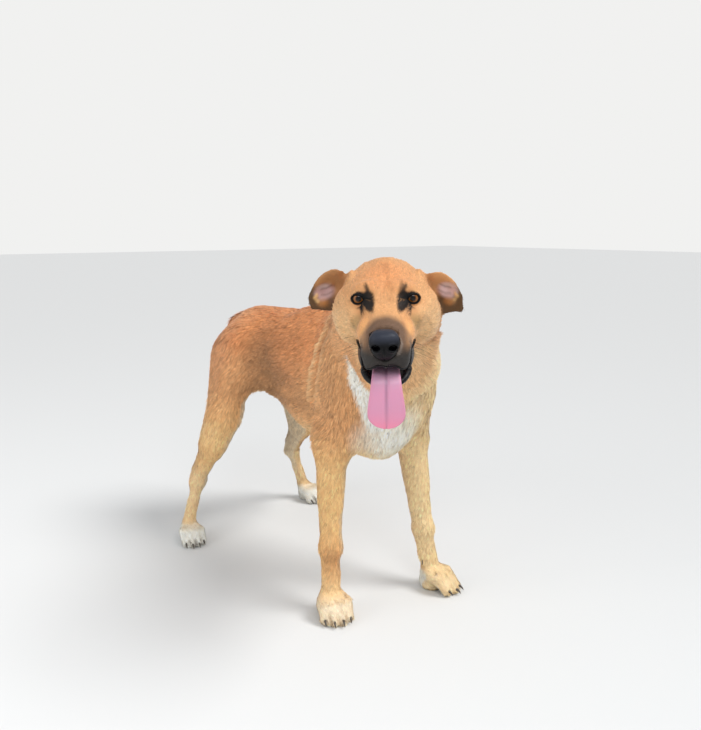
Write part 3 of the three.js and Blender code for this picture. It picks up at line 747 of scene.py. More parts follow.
def on_ball(side, x, z, radius):
    """Places on a sphere about the eye from the flat sheet's x and z."""
    forward, outward, upward = eye_axes(side)
    way = SHELL * forward + np.outer(x, outward) + np.outer(z, upward)
    return eye_middle(side) + radius * unit(way)


def lid_line(side, height, thick, count=41):
    """One lid's edge from the inner corner to the outer, with its thickness."""
    x = np.linspace(-OPENING_HALF, OPENING_HALF, count)
    behind, radius = arc(abs(height))
    z = math.copysign(1, height) * (np.sqrt(np.maximum(radius**2 - x**2, 0)) - behind)
    places = on_ball(side, x, z, RIM_RADIUS)
    thickness = thick * (0.75 + 0.25 * np.sin(np.linspace(0, math.pi, count)))
    return np.hstack([places, thickness[:, None]])


rims = tube(
    [
        lid_line(side, height, thick)
        for side in (-1, 1) for height, thick in ((LID_RISE, 0.95), (-LID_DROP, 0.75))
    ],
    "eyelid_rims",
)
print("rims", len(rims.data.polygons), "faces")

# %% [markdown]
# ## Nose
#
# The bare leather of the nose is a rounded block, widest a little above its middle, that narrows to the
# groove of the lip. A sphere is pulled to that shape, level by level. Then the two nostrils are pressed in
# with their side slits, and the rims round them are drawn forward.

# %% The block of the nose
NOSE_MIDDLE = to_head(middle("nose"))
NOSE_LEVELS = [  # height above the nose's middle, and half its width there
    (-25.5, 0.0), (-24.2, 4.4), (-22, 7.8), (-18.5, 11.6), (-14.6, 14.4), (-8, 17.6), (-1, 19.7),
    (4, 19.6), (8.8, 18.0), (12.6, 15.0), (15.2, 9.8), (16.4, 0.0),
]
SQUARENESS = 2.6  # of each level, where 2 would be round
FRONT_SHARE, BACK_SHARE = 0.62, 0.8  # how deep each half is, as a share of half the width
DRAWN_BACK, LEAN = 0.010, 0.10  # how the lower part draws back towards the lip, and how the whole leans

bpy.ops.mesh.primitive_ico_sphere_add(subdivisions=6, radius=1)
nose = bpy.context.object
nose.name = nose.data.name = "nose_leather"
round_way = points_of(nose) * MM
level, level_half = smooth_line(np.array(NOSE_LEVELS, float), 200).T
nose_height = round_way[:, 2] * (level[-1] - level[0]) / 2 + (level[-1] + level[0]) / 2
half = np.interp(nose_height, level, level_half)
flat_way = unit(round_way[:, :2])
square = np.maximum((np.abs(flat_way) ** SQUARENESS).sum(axis=1), 0.1) ** (-1 / SQUARENESS)
deep = half * np.where(flat_way[:, 1] < 0, FRONT_SHARE, BACK_SHARE)
drawn = DRAWN_BACK * np.clip(-nose_height - 2, 0, None) ** 2
back = flat_way[:, 1] * square * deep + drawn + LEAN * nose_height
nose_at = np.stack([half * flat_way[:, 0] * square, back, nose_height], axis=1)
print("nose", len(nose.data.polygons), "faces")

# %% Nostrils
NOSTRIL = np.array([10.7, -3.2])  # outwards and up from the nose's middle
NOSTRIL_REACH, RIM_WIDE, RIM_REACH = (5.8, 4.5), (1.25, 1.0), (5.8, 1.7)
SLIT = np.array([[10.7, -3.2], [15.0, -5.4], [17.4, -9.5]])
HOLE_DEEP, SLIT_DEEP, GROOVE_DEEP, DOME_OUT = 9.0, 3.6, 1.3, 0.8
NOSE_PLACE = NOSE_MIDDLE + [-2.0, 0.8, 0.4]

out = np.stack([np.abs(nose_at[:, 0]), nose_at[:, 2]], axis=1)
front = nose_at[:, 1] < 3
hole = np.clip(1 - (((out - NOSTRIL) / NOSTRIL_REACH) ** 2).sum(axis=1), 0, 1) ** 0.6 * front
slit = near_line(out, SLIT, 2.3) * front
rim_gap = np.hypot(*((out - NOSTRIL) / RIM_WIDE).T) - RIM_REACH[0]
rim = np.exp(-((rim_gap / RIM_REACH[1]) ** 2)) * front
groove = np.exp(-(nose_at[:, 0] ** 2)) * soft(-nose_height, -3, 6) * front
dome = np.exp(-((nose_at[:, 0] / 9) ** 2)) * soft(nose_height, -2, 8) * front
pushed = HOLE_DEEP * hole + SLIT_DEEP * slit * (1 - hole) - rim * (1 - slit)
nose_at[:, 1] += pushed + GROOVE_DEEP * groove - DOME_OUT * dome
move_points(nose, from_head(nose_at + NOSE_PLACE))
settle(nose)
bpy.ops.object.shade_smooth()
print("nostrils pressed in")

# %% [markdown]
# The leather sits in the skin of the muzzle, not on it. The skin round it is evened and pressed back inside
# the leather's outline, and at its top downwards, so that only leather shows there.

# %% The skin under the leather
LEATHER_ROUND = ((0, 4, 10), (34, 34, 30))  # a place from the nose's middle, and its reach
PRESSED_BACK, PRESSED_DOWN = 14.0, 7.5

from_nose = to_head(points_of(skin)) - NOSE_PLACE
ease(near(from_nose, *LEATHER_ROUND) ** 0.4, 50)
from_nose = to_head(points_of(skin)) - NOSE_PLACE
rise, aside = from_nose[:, 2], np.abs(from_nose[:, 0])
before_back = soft(-from_nose[:, 1], -16, -12)
under_nose = soft(np.interp(rise, level, level_half) - aside, -0.2, 1.0) * before_back
lowered = rise - 2.6 * soft(rise, -4, 10)
covered = soft(np.interp(lowered, level, level_half) - aside, -0.6, 1.8) * before_back
on_top = soft(rise, 5, 13)
press(covered * (1 - on_top), PRESSED_BACK, head_y)
press(covered * on_top, PRESSED_DOWN, unit(0.35 * head_y - head_z))
print("under the nose", int((under_nose > 0.5).sum()), "points")

# %% [markdown]
# ## Lips
#
# A panting dog shows the black skin of its lips: a thin edge under the flews, and a thick fold from each
# corner of the mouth down to the lower jaw, with soft teeth along its outer edge.

# %% Lips
UPPER_LIP = [
    (0, -107, -62, 0.8), (10, -105, -64, 0.9), (21, -94, -67, 1.0), (30, -77, -65, 1.1), (36, -56, -60, 1.3),
    (40, -34, -57.5, 1.4), (43, -14, -58, 1.2), (42, -4, -60, 0.8),
]
LIP_TEETH, TOOTH = 15, 0.35  # along each side, and how high they stand


def mirrored(line, side):
    return np.asarray(line, float) * [side, 1, 1, 1]


def skin_tree():
    """The skin as a searchable shape, in metres."""
    polygons = [tuple(polygon.vertices) for polygon in skin.data.polygons]
    return BVHTree.FromPolygons([vertex.co.copy() for vertex in skin.data.vertices], polygons)


def snapped(line, tree, share=1.0):
    """A line's places moved on to the skin; the radius is kept."""
    found = [tree.find_nearest(place * MM)[0] for place in from_head(line[:, :3])]
    on_skin = to_head(np.array(found) / MM)
    return np.hstack([line[:, :3] + share * (on_skin - line[:, :3]), line[:, 3:]])


def draw_to(line, reach, share):
    """Draws the skin near a line up to it, as a lip draws the cheek."""
    at = to_head(points_of(skin))
    picked = np.flatnonzero(np.linalg.norm(at - line[:, :3].mean(axis=0), axis=1) < 90)
    gaps = at[picked, None, :] - line[None, ::3, :3]
    closest = np.linalg.norm(gaps, axis=2).argmin(axis=1)
    gap = gaps[np.arange(len(picked)), closest]
    distance = np.linalg.norm(gap, axis=1)
    at[picked] -= (share * np.clip(1 - (distance / reach) ** 2, 0, 1) ** 2)[:, None] * gap
    move_points(skin, from_head(at))


for side in (-1, 1):
    draw_to(smooth_line(mirrored(LOWER_LIP, side), 150), 13, 0.75)
tree = skin_tree()
lip_lines = []
for side in (-1, 1):
    upper = snapped(smooth_line(mirrored(UPPER_LIP, side), 90), tree)
    for _ in range(12):
        upper[1:-1, :3] = (upper[:-2, :3] + 2 * upper[1:-1, :3] + upper[2:, :3]) / 4
    lower = smooth_line(mirrored(LOWER_LIP, side), 150)
    share = np.linspace(0, 1, len(lower))
    toothed = soft(share, 0.30, 0.42) * soft(0.80 - share, 0, 0.12)
    lower[:, 3] += TOOTH * np.abs(np.sin(share * math.pi * LIP_TEETH)) * toothed
    lip_lines += [upper, snapped(lower, tree, 0.8)]
lips = tube(lip_lines, "lips", 4)
print("lips", len(lips.data.polygons), "faces")

# %% [markdown]
# ## Corners of the mouth
#
# Behind the lips, a fold of bare black skin joins the upper lip to the lower and closes the mouth as seen
# from the side. It is a grid of places between the two lips, hollowed a little and given a thickness.

# %% Corners of the mouth
CORNER_EDGE = np.array([  # y, the outer x, and the upper and lower z of the fold
    (-2, 40.5, -58, -72), (-14, 40.5, -55.5, -76), (-24, 39.5, -54.5, -79), (-34, 37.5, -54.5, -81),
    (-44, 34.5, -55.5, -84), (-54, 31.5, -56.5, -87),
], float)
FOLD_ROWS, FOLD_COLUMNS, FOLD_THICK = 13, 11, 2.6


def grid_faces(rows, columns, closed=False):
    """Four-cornered faces between rows of places; closed rows end where they begin."""
    faces = []
    for row in range(rows - 1):
        here, beyond = row * columns, (row + 1) * columns
        for k in range(columns if closed else columns - 1):
            after = (k + 1) % columns
            faces.append((here + k, here + after, beyond + after, beyond + k))
    return faces


def built(name, places, faces):
    """A new piece, made active, from places in the head's frame."""
    mesh = bpy.data.meshes.new(name)
    mesh.from_pydata((from_head(places) * MM).tolist(), [], faces)
    piece = linked(name, mesh)
    only(piece)
    return piece


grid = []
for ahead in np.linspace(0, 1, FOLD_ROWS):
    for down in np.linspace(0, 1, FOLD_COLUMNS):
        hollow = math.sin(math.pi * down)
        y = -3 - ahead * (45 - 14 * hollow)
        x, top, low = (np.interp(-y, -CORNER_EDGE[:, 0], column) for column in CORNER_EDGE[:, 1:].T)
        grid.append((x - 2.0 * hollow - 2.2 * down, y, top + (low - top) * down))
faces = [face[:1] + face[:0:-1] for face in grid_faces(FOLD_ROWS, FOLD_COLUMNS)]
faces += [tuple(corner + len(grid) for corner in face[::-1]) for face in faces]
mouth_corners = built("mouth_corners", np.vstack([grid, np.array(grid) * [-1, 1, 1]]), faces)
thickness = mouth_corners.modifiers.new("thickness", "SOLIDIFY")
thickness.thickness = FOLD_THICK * MM
thickness.offset = 0
bpy.ops.object.modifier_apply(modifier="thickness")
bpy.ops.object.shade_smooth()
print("corners of the mouth", len(mouth_corners.data.polygons), "faces")

# %% [markdown]
# ## Whiskers
#
# A few stiff black hairs stand out from each side of the muzzle. They are thin tubes rooted on the skin
# that bend down a little towards their ends.

# %% Whiskers
WHISKERS = [  # outwards, back and up of each root, and the length
    (25, -90, -36, 26), (27, -84, -32, 30), (28, -78, -40, 34), (29, -72, -34, 32), (30, -66, -43, 34),
    (28, -80, -48, 28), (31, -62, -50, 30), (18, -68, -90, 24), (45, 6, -54, 20),
]
WHISKER_RADIUS, SAG = 0.15, 0.28

sprouts = []
for side in (-1, 1):
    for number, (out_x, back, up, long_way) in enumerate(WHISKERS):
        root = snapped(np.array([[side * out_x, back, up, 0.0]]), tree)[0, :3]
        share = np.linspace(0, 1, 9)[:, None]
        way = unit([side, 0.15 + 0.05 * (number % 3), -0.12 - 0.1 * (number % 4)])
        places = root + long_way * (share * way + SAG * share**2 * np.array([0, 0.25, -1.0]))
        sprouts.append(np.hstack([places, WHISKER_RADIUS * (1 - 0.75 * share)]))
whiskers = tube(sprouts, "whiskers", 1)
print("whiskers", len(whiskers.data.polygons), "faces")

# %% [markdown]
# ## Tongue
#
# The tongue comes out over the lower lip and hangs, widest a little above its tip, with a groove down its
# middle. It is built as rings along its length, the way a loft is made, because its width, thickness and
# groove all change along it.

# %% Tongue
TONGUE = [  # forwards, down, half width, half thickness
    (30, 68, 15.0, 4.0), (58, 71.5, 16.5, 4.4), (80, 75.5, 18.2, 4.4), (93, 82, 19.6, 4.1),
    (100.5, 93, 21.2, 3.9), (104.3, 106, 23.4, 3.8), (107, 119, 25.0, 3.8), (108.6, 128, 24.2, 3.7),
    (109.6, 135, 19.8, 3.4), (110.2, 140.3, 12.4, 3.0), (110.6, 143.2, 3.0, 2.0),
]
TONGUE_RINGS, TONGUE_SIDES = 110, 64
ROOT_FROM, ROOT_OVER = 78.0, 22  # where the tongue starts to thicken towards its root, and over what length
ROOT_UP, ROOT_DOWN = 0.8, 2.8  # how much thicker the root is above and below
CURL = 1.6  # how far the edges turn up

spine = smooth_line(np.array(TONGUE), TONGUE_RINGS)
slope = np.arctan2(np.gradient(spine[:, 1]), np.gradient(spine[:, 0]))
turn = np.linspace(0, 2 * math.pi, TONGUE_SIDES, endpoint=False)
across = np.sign(np.cos(turn)) * np.abs(np.cos(turn)) ** 0.8
lift = np.sign(np.sin(turn)) * np.abs(np.sin(turn)) ** 0.75
rings = []
for (forwards, down, half_width, thick), angle in zip(spine, slope):
    top = lift > 0
    dip = 1.4 * np.exp(-((across * half_width) ** 2)) + 0.6 * np.exp(-((across * half_width / 6) ** 2))
    root = soft(ROOT_FROM - forwards, 0, ROOT_OVER) * np.where(top, ROOT_UP, ROOT_DOWN)
    raised = thick * lift * (1 + root) + CURL * np.abs(across) ** 4 - top * dip
    y, z = -(forwards + raised * math.sin(angle)), -(down - raised * math.cos(angle))
    rings.append(np.stack([across * half_width, y, z], axis=1))
tongue_places = np.vstack([*rings, rings[0].mean(axis=0), rings[-1].mean(axis=0)])
tongue_faces = grid_faces(TONGUE_RINGS, TONGUE_SIDES, closed=True)
first, last = TONGUE_RINGS * TONGUE_SIDES, (TONGUE_RINGS - 1) * TONGUE_SIDES
tongue_faces += [(first, (k + 1) % TONGUE_SIDES, k) for k in range(TONGUE_SIDES)]
tongue_faces += [(first + 1, last + k, last + (k + 1) % TONGUE_SIDES) for k in range(TONGUE_SIDES)]
tongue = built("tongue_flesh", tongue_places, tongue_faces)
on_whole(bpy.ops.mesh.normals_make_consistent, inside=False)
bpy.ops.object.shade_smooth()
print("tongue", len(tongue.data.polygons), "faces")

# %% [markdown]
# ## Claws
#
# The claws keep the frame's shape and place. Each paw's are joined in one piece and subdivided, which
# rounds them.

# %% Claws
CLAW_SHARE = 0.74  # of the frame's claws, which reach out to the tips of the hair round them


def claws_of(end):
    """The names of one paw's claws."""
    return [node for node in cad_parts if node.startswith(f"claw_{end}")]


def ahead_of(end):
    """The level direction from one paw's middle to its claws."""
    toes = np.mean([middle(name) for name in claws_of(end)], axis=0)
    return unit((toes - middle(f"paw_{end}")) * [1, 1, 0])


claws = []
for end in PAWS:
    names = claws_of(end)
    claw = copy_of(names, f"claws_{end}")
    rounding = claw.modifiers.new("rounding", "SUBSURF")
    rounding.levels = rounding.render_levels = 2
    bpy.ops.object.modifier_apply(modifier="rounding")
    at, middles = points_of(claw), np.array([middle(name) for name in names])
    own = middles[np.linalg.norm(at[:, None] - middles, axis=2).argmin(axis=1)]
    move_points(claw, own + CLAW_SHARE * (at - own))
    bpy.ops.object.shade_smooth()
    claws.append((claw, names))
    print(claw.name, names)

# %% [markdown]
# Short clefts part the toes. Each is pressed along a line that starts between two claws and runs back over
# the foot.

# %% Clefts between the toes
CLEFT_REACH, CLEFT_DEPTH, CLEFT_FADE = 4.2, 3.6, 16
CLEFT_STEPS = ((1.5, -6), (0, 3), (-7, 11), (-13, 17))  # how far ahead and up, from between two claws


def along_cleft(line):
    """1 along a cleft, falling to 0 towards its upper end."""
    end = [line[-1], line[-1] + [0, 0, 0.1]]
    return near_line(places, line, CLEFT_REACH) * soft(line_distance(places, end), 0, CLEFT_FADE)


tree = skin_tree()
clefts = []
for end in PAWS:
    ahead = ahead_of(end)
    tips = np.array([middle(name) for name in claws_of(end)])
    tips = tips[np.argsort(tips @ np.cross(ahead, UP))]
    for a, b in zip(tips, tips[1:]):
        line = [(a + b) / 2 + forth * ahead + up * UP for forth, up in CLEFT_STEPS]
        clefts.append(np.array([tree.find_nearest(place * MM)[0] for place in line]) / MM)
places = points_of(skin)
cleft = np.max([along_cleft(line) for line in clefts], axis=0)
press(cleft, -CLEFT_DEPTH)
print("clefts", len(clefts))

# %% [markdown]
# ## Folds of the body
#
# With the head turned, the skin of the dog's right shoulder gathers in an upright fold: a ridge, a groove
# before it and a second, lower ridge. They are strokes along lines that run down over the shoulder.

# %% The shoulder fold
FOLD = np.array([
    (-40, -76, 532), (-56, -78, 506), (-66, -70, 477), (-71, -60, 445), (-72, -51, 411), (-70, -44, 378),
], float)
FORWARD = np.array([-3.0, -15.0, 0.0])  # from one line of the fold to the next

for line, reach, push in ((FOLD, 13, 3.2), (FOLD + FORWARD, 10, -3.0), (FOLD + 2 * FORWARD, 13, 1.6)):
    press(near_line(points_of(skin), line, reach), push)
print("shoulder fold pressed")

# %% [markdown]
# ## Sinking the skin by the coat's depth
#
# The frame's solids reach out to the tips of the hair, so the bare skin lies a little inside them: by
# almost nothing on the muzzle and several millimetres on the neck and tail. The same tables give the hair's
# length and thickness.

# %% Length and depth of the coat
def coat_table(places, parts, values):
    """A value of the coat at each place: by part, and on the head from muzzle to cheeks."""
    at = to_head(places)
    on_head = np.isin(parts, [FLESH.index("head"), FLESH.index("lower_jaw")])
    back = soft(at[:, 1], -75, 75)
    cheek = near(np.abs(at) * [1, 1, 0] + at * [0, 0, 1], (66, 40, -52), (44, 60, 50))
    face = values["muzzle"] + (values["skull"] - values["muzzle"]) * back
    return np.where(on_head, face + (values["cheek"] - face) * cheek, by_part(values, parts))


LENGTH = {
    "head": 6, "lower": 6, "muzzle": 2.2, "skull": 6.5, "cheek": 11, "ear": 1.5, "neck": 18,
    "trunk": 15, "tail": 25, "thigh": 15, "foreleg": 9.5, "hindleg": 9.5, "paw": 5.5,
}
DEPTH_SHARE = 0.22  # the coat's depth for each millimetre of its length

part = nearest_part(points_of(skin))
places = points_of(skin)
at = to_head(places)
length = spread(coat_table(places, part, LENGTH), 10)[:, 0]
length *= 0.25 + 0.75 * soft(-lid_depth, 2, 18)
lip_gap = np.minimum(*(line_distance(at, line[::6, :3]) for line in lip_lines[1::2]))
on_lip = soft(-lip_gap, -6.0, -4.5)
between = soft(beside_lip(UPPER_LIP, at, 2) - at[:, 2], 0, 2)
between *= soft(at[:, 2] - beside_lip(LOWER_LIP, at, 2), -3, 0)
between *= soft(-at[:, 1], 10, 16) * (np.abs(at[:, 0]) < beside_lip(LOWER_LIP, at, 0) + 2)
mouth = np.maximum(mouth, between)
bare = np.maximum.reduce([soft(lid_depth, -2.8, -2.0), mouth, on_lip, under_nose])
press((DEPTH_SHARE * length + 0.1) * (1 - bare) * soft(-lid_depth, 2, 14), -1)
print("coat", length.min().round(1), "to", length.max().round(1), "mm long")

# %% [markdown]
# ## Markings
#
# Fawn with a redder back, a sooty flank, a dark mask and eye patches, cream under the body and down the
# legs, and white on throat, chest and toes. Some marks are painted light and shade: darker sides, lower
# flank and belly edge, painted shade in creases, folds and clefts, painted highlights on ridges, and ears
# painted lighter on the left and darker on the right. A mark is a soft spot or line of one colour painted
# over the last. The skin and every tuft of hair use the same marks, so they always agree.

# %% Colours of the coat
FAWN = (0.70, 0.36, 0.155)
RED = (0.78, 0.305, 0.112)
SALMON = (0.76, 0.37, 0.17)
# a deep red-brown, used mostly as painted shade in creases and on the trunk's sides
DEEP = (0.48, 0.195, 0.075)
CREAM = (0.88, 0.62, 0.33)
PALE = (0.72, 0.63, 0.47)
WHITE = (0.93, 0.91, 0.82)
# sooty brown: the flank's own sooty patch, and painted shade low on the trunk
SOOT_AND_SHADE = (0.27, 0.135, 0.058)
GOLD = (0.91, 0.56, 0.235)
BROWN = (0.53, 0.215, 0.062)
MASK = (0.088, 0.054, 0.040)
FLEW = (0.030, 0.029, 0.027)
BLACK = (0.007, 0.0065, 0.0065)
EAR_BROWN = (0.095, 0.052, 0.024)
EAR_PINK = (0.68, 0.44, 0.41)
ORANGE = (0.86, 0.43, 0.165)
# used as painted shade in the side crease of the muzzle
OLIVE = (0.44, 0.28, 0.12)
GREY = (0.42, 0.37, 0.32)
HOCK_TAN = (0.93, 0.60, 0.29)
SHANK_CREAM = (0.95, 0.66, 0.36)
FORELEG_TAN = (0.95, 0.60, 0.27)
OUTER_FORELEG = (0.93, 0.57, 0.25)
CLEFT_SHADE = (0.16, 0.11, 0.085)
NECK_CREAM_AND_LIGHT = (0.93, 0.68, 0.37)
BRIDGE_BROWN = (0.60, 0.28, 0.12)
RIGHT_EAR_SHADE = (0.22, 0.095, 0.038)
SUNLIT_EAR_PINK = (0.90, 0.68, 0.64)
SHADED_EAR_PINK = (0.36, 0.20, 0.19)
EAR_HOLLOW_SHADE = (0.16, 0.075, 0.06)

THROAT = np.array([
    (-85, -186, 474), (-77, -193, 452), (-68, -202, 430), (-55, -207, 402), (-38, -208, 362),
], float)


def coat_colour(places, outwards, on_ear, inside_mouth, lids, clefts_here):
    """The coat's colour at each place of the skin, with painted shade and highlights in it."""
    at = to_head(places)
    face = at * [0, 1, 1] + np.abs(at) * [1, 0, 0]
    y, z = places[:, 1], places[:, 2]
    colours = np.tile(np.array(FAWN), (len(places), 1))

    def paint(weight, colour):
        nonlocal colours
        colours = colours + np.clip(weight, 0, 1)[:, None] * (np.array(colour) - colours)

    def patch(where, line, reach, fade):
        return soft(reach - line_distance(where, line), 0, fade)

    # the body, with painted shade on its sides, lower flank and belly edge
    middle_x = 17.0  # the line down the middle of the body
    side = np.abs(places[:, 0] - middle_x)
    body = np.stack([side, y, z], axis=1)
    behind_head = soft(at[:, 1], 60, 120)
    paint(0.8 * soft(y, -110, -40) * soft(z, 380, 470), RED)
    # painted shade: the trunk's sides below the back darker red-brown, partly the coat's own colour
    shaded_sides = 0.5 * soft(y, -60, 40) * soft(z, 330, 400) * (1 - soft(z, 470, 520))
    paint(shaded_sides * (1 - soft(y, 150, 230)), DEEP)
    paint(0.75 * soft(y, 190, 270) * soft(z, 330, 420), SALMON)
    # a sooty patch on the flank, the coat's own colour
    paint(0.70 * near(body, (80, 135, 420), (76, 92, 92)), SOOT_AND_SHADE)
    # painted shade: the lower flank darker
    paint(0.55 * soft(y, 20, 110) * soft(-y, -230, -170) * soft(-z, -400, -350) * soft(side, 20, 60), SOOT_AND_SHADE)
    paint(soft(-outwards[:, 2], 0.45, 0.95) * soft(z, 230, 300) * behind_head, CREAM)
    # painted shade along the belly's edge, where the sides turn under
    edge = soft(-outwards[:, 2], -0.1, 0.3) * (1 - soft(-outwards[:, 2], 0.5, 0.8)) * soft(z, 330, 370)
    paint(0.55 * edge * soft(y, -60, 0) * soft(-y, -200, -150), SOOT_AND_SHADE)

    # the legs
    leg = soft(-z, -350, -250)
    front = y < 60
    paint(leg * 0.8, GOLD)
    paint(0.5 * soft(-z, -330, -250) * ~front, HOCK_TAN)
    paint(soft(-z, -190, -140) * ~front, SHANK_CREAM)
    paint(0.5 * leg * front * soft(-places[:, 0], -20, 10) * soft(z, 120, 180), FORELEG_TAN)
    paint(0.55 * leg * front * soft(places[:, 0], 20, 50) * soft(outwards[:, 0], -0.3, 0.5), OUTER_FORELEG)
    paint(0.85 * np.exp(-(((z - 104) / 33) ** 2)) * front * soft(-outwards[:, 1], -0.4, 0.6), BROWN)
    paint(0.6 * np.exp(-(((z - 128) / 20) ** 2)) * ~front * soft(outwards[:, 1], -0.2, 0.6), BROWN)
    inner = soft(-outwards[:, 0] * np.sign(places[:, 0] - middle_x), 0.0, 0.6) * soft(-z, -390, -340)
    paint(0.75 * inner * soft(side, 28, 45) * soft(z, 60, 120) * (1 - 0.4 * front), PALE)
    paint(0.45 * soft(-z, -80, -45), CREAM)
    paint(0.95 * soft(-z, -47, -31), WHITE)
    # painted shade in the clefts between the toes
    paint(0.8 * clefts_here, CLEFT_SHADE)

    # neck, throat and chest
    neck = behind_head * soft(-y, 10, 160)
    # paler front and left of the neck: partly the coat's cream, partly painted light on its lit left side
    paint(0.90 * neck * soft(places[:, 0], -70, 20) * soft(-outwards[:, 1], -0.5, 0.35), NECK_CREAM_AND_LIGHT)
    throat = line_distance(places, THROAT) - 22 * soft(-z, -474, -425)
    paint(0.92 * soft(9 - throat, 0, 13) * soft(at[:, 1], 60, 90), WHITE)
    paint(0.95 * near(places, (-8, -215, 322), (92, 90, 84)) ** 0.6, WHITE)
    # painted highlights on the two ridges of the shoulder fold, and painted shade in its groove
    fold = near(places, (-60, -70, 450), (70, 70, 120)) ** 0.3
    paint(0.75 * fold * near_line(places, FOLD, 12), CREAM)
    paint(0.60 * fold * near_line(places, FOLD + FORWARD, 10), DEEP)
    paint(0.35 * fold * near_line(places, FOLD + 2 * FORWARD, 12), CREAM)

    # the head
    head = 1 - soft(at[:, 1], 50, 110)
    paint(0.60 * head * near(face, (0, 30, 30), (60, 76, 36)) ** 0.7, RED)
    paint(0.60 * head * near(face, (60, 22, -46), (40, 60, 48)) ** 0.6, CREAM)
    paint(0.40 * head * near(face, (47, 0, -24), (20, 24, 18)), CREAM)
    # painted shade along the furrow down the middle of the forehead
    paint(0.55 * head * near_line(face, [(0, 62, 31), (0, 24, 30)], 8), DEEP)
    paint(0.45 * head * near_line(face, [(0, 24, 30), (0, -6, 20)], 5), DEEP)
    # painted shade in the side crease of the muzzle
    paint(0.80 * head * near_line(face, [(38, -24, -18), (45, -14, -38)], 11) ** 0.6, OLIVE)
    # the ridge along the muzzle: the coat's own orange, lightened as a painted highlight where the ridge
    # catches the light
    beside_muzzle = [(27, -26, -4), (30, -44, -15), (32, -56, -26), (38, -36, -42)]
    paint(0.85 * head * near_line(face, beside_muzzle, 9) ** 0.7, ORANGE)
    # painted shade in the hollow beside the bridge
    paint(0.65 * head * near_line(face, [(20, -22, 2), (23, -38, -5), (25, -58, -14)], 7), DEEP)
    paint(0.40 * head * near(face, (0, -34, 8), (26, 34, 20)), BRIDGE_BROWN)
    # painted shade on the skull where the ears meet it
    paint(0.45 * head * near_line(face, [(58, 62, 14), (64, 58, -8), (67, 54, -26)], 11), DEEP)

    # the mask and the lips
    mask = soft(-at[:, 1] + 0.25 * at[:, 2], 42, 68)
    paint(0.88 * mask * head * (1 - 0.6 * soft(face[:, 0], 22, 33) * soft(at[:, 2], -50, -28)), MASK)
    paint(0.94 * mask * soft(-at[:, 2], 24, 46), FLEW)
    paint(0.32 * head * near_line(face, [(21, -102, -14), (21, -101, -26), (15, -102, -38)], 5), GREY)
    paint(0.5 * near_line(face, [(-1, -72, -7), (-2, -98, -9)], 0.9), WHITE)
    paint(0.45 * head * near_line(face, [(43, -22, -50), (50, -8, -66), (48, -20, -80)], 11), CREAM)
    paint(0.60 * head * soft(-at[:, 2], 84, 100), CREAM)

    # the dark patches and spots round the eyes, and the corners of the mouth
    sheet, own = face * [1, 0, 1], at * [1, 0, 1]
    ahead = head * soft(-at[:, 1], -14, -4)
    paint(0.45 * ahead * patch(sheet, [(26, 0, 8), (27, 0, -2), (33, 0, -12)], 14, 12), DEEP)
    paint(0.82 * ahead * patch(sheet, [(24.2, 0, 15.5), (26.4, 0, 19.5)], 4.7, 3.8), BLACK)
    paint(0.60 * ahead * patch(own, [(20.5, 0, 15), (22, 0, 20.5)], 4.9, 4.2), BLACK)
    paint(0.30 * ahead * patch(sheet, [(25.5, 0, 7), (24.5, 0, 13)], 5.0, 4.4), BLACK)
    paint(0.97 * ahead * patch(sheet, [(23.6, 0, 6.5), (23.0, 0, 2.0), (23.6, 0, -1.5)], 10.1, 3.8), BLACK)
    paint(0.45 * ahead * patch(sheet, [(27, 0, -4), (31, 0, -7)], 7.0, 6.0), BLACK)
    paint(soft(lids, -5.8, -4.2), BLACK)
    commissure = patch(face, [(42.5, -14, -63), (41, -22, -66), (37, -36, -72)], 5.4, 2.4)
    paint(0.95 * head * commissure, BLACK)

    # the ears, with painted shade and highlights on them
    inner_face = soft(-(outwards @ head_y), 0.0, 0.5) * on_ear
    paint(0.30 * on_ear, BROWN)
    # painted shade: the right ear darker all over, as on the side away from the light
    paint(0.45 * on_ear * (at[:, 0] < 0), RIGHT_EAR_SHADE)
    # painted shade in the crease where the ear meets the skull
    paint(0.6 * on_ear * near_line(face, [(64, 68, 16), (66, 66, 2), (74, 64, -16)], 8), DEEP)
    dark = soft(0.75 * (face[:, 0] - 92) - (at[:, 2] + 8), -9, 12)
    paint(0.94 * on_ear * dark * (1 - 0.6 * inner_face * near(face, (93, 62, -25), (13, 20, 10))), EAR_BROWN)
    from_pink = np.hypot((face[:, 0] - 90) / 18, (face[:, 2] + 11) / 15)
    paint(0.94 * inner_face * soft(1 - from_pink, 0, 0.55), EAR_PINK)
    # painted light: the left ear's hollow a lighter pink, the right ear's a duller pink in painted shade
    paint(0.5 * inner_face * near(at, (91, 66, -9), (17, 34, 14)) ** 0.6, SUNLIT_EAR_PINK)
    paint(0.4 * inner_face * near(at, (-89, 66, -10), (20, 34, 16)) ** 0.6, SHADED_EAR_PINK)
    # a painted highlight on the pink hollow of the ear
    paint(0.35 * inner_face * near(face, (92, 68, -4), (12, 30, 7)), WHITE)
    # painted shade in the hollow of the ear, beside the skull
    paint(0.8 * inner_face * near_line(face, [(75, 66, -10), (80, 66, -24)], 8) ** 0.8, EAR_HOLLOW_SHADE)
    rim = [(98, 62, -12), (103, 60, -17), (100, 60, -22)]
    paint(0.85 * inner_face * near_line(face, rim, 5.0) ** 0.7, GOLD)
    paint(0.50 * inner_face * near(face, (91, 62, -27), (14, 20, 10)), BROWN)
    # painted shadow along two folds inside the ear
    paint(0.40 * inner_face * patch(sheet, [(80, 0, -3), (88, 0, -8), (95, 0, -8)], 2.6, 2.4), EAR_BROWN)
    paint(0.35 * inner_face * patch(sheet, [(79, 0, -13), (88, 0, -17), (95, 0, -16)], 2.6, 2.4), EAR_BROWN)
    # painted black: the lips' own black skin, and painted shade inside the open mouth
    paint(inside_mouth, BLACK)
    return colours


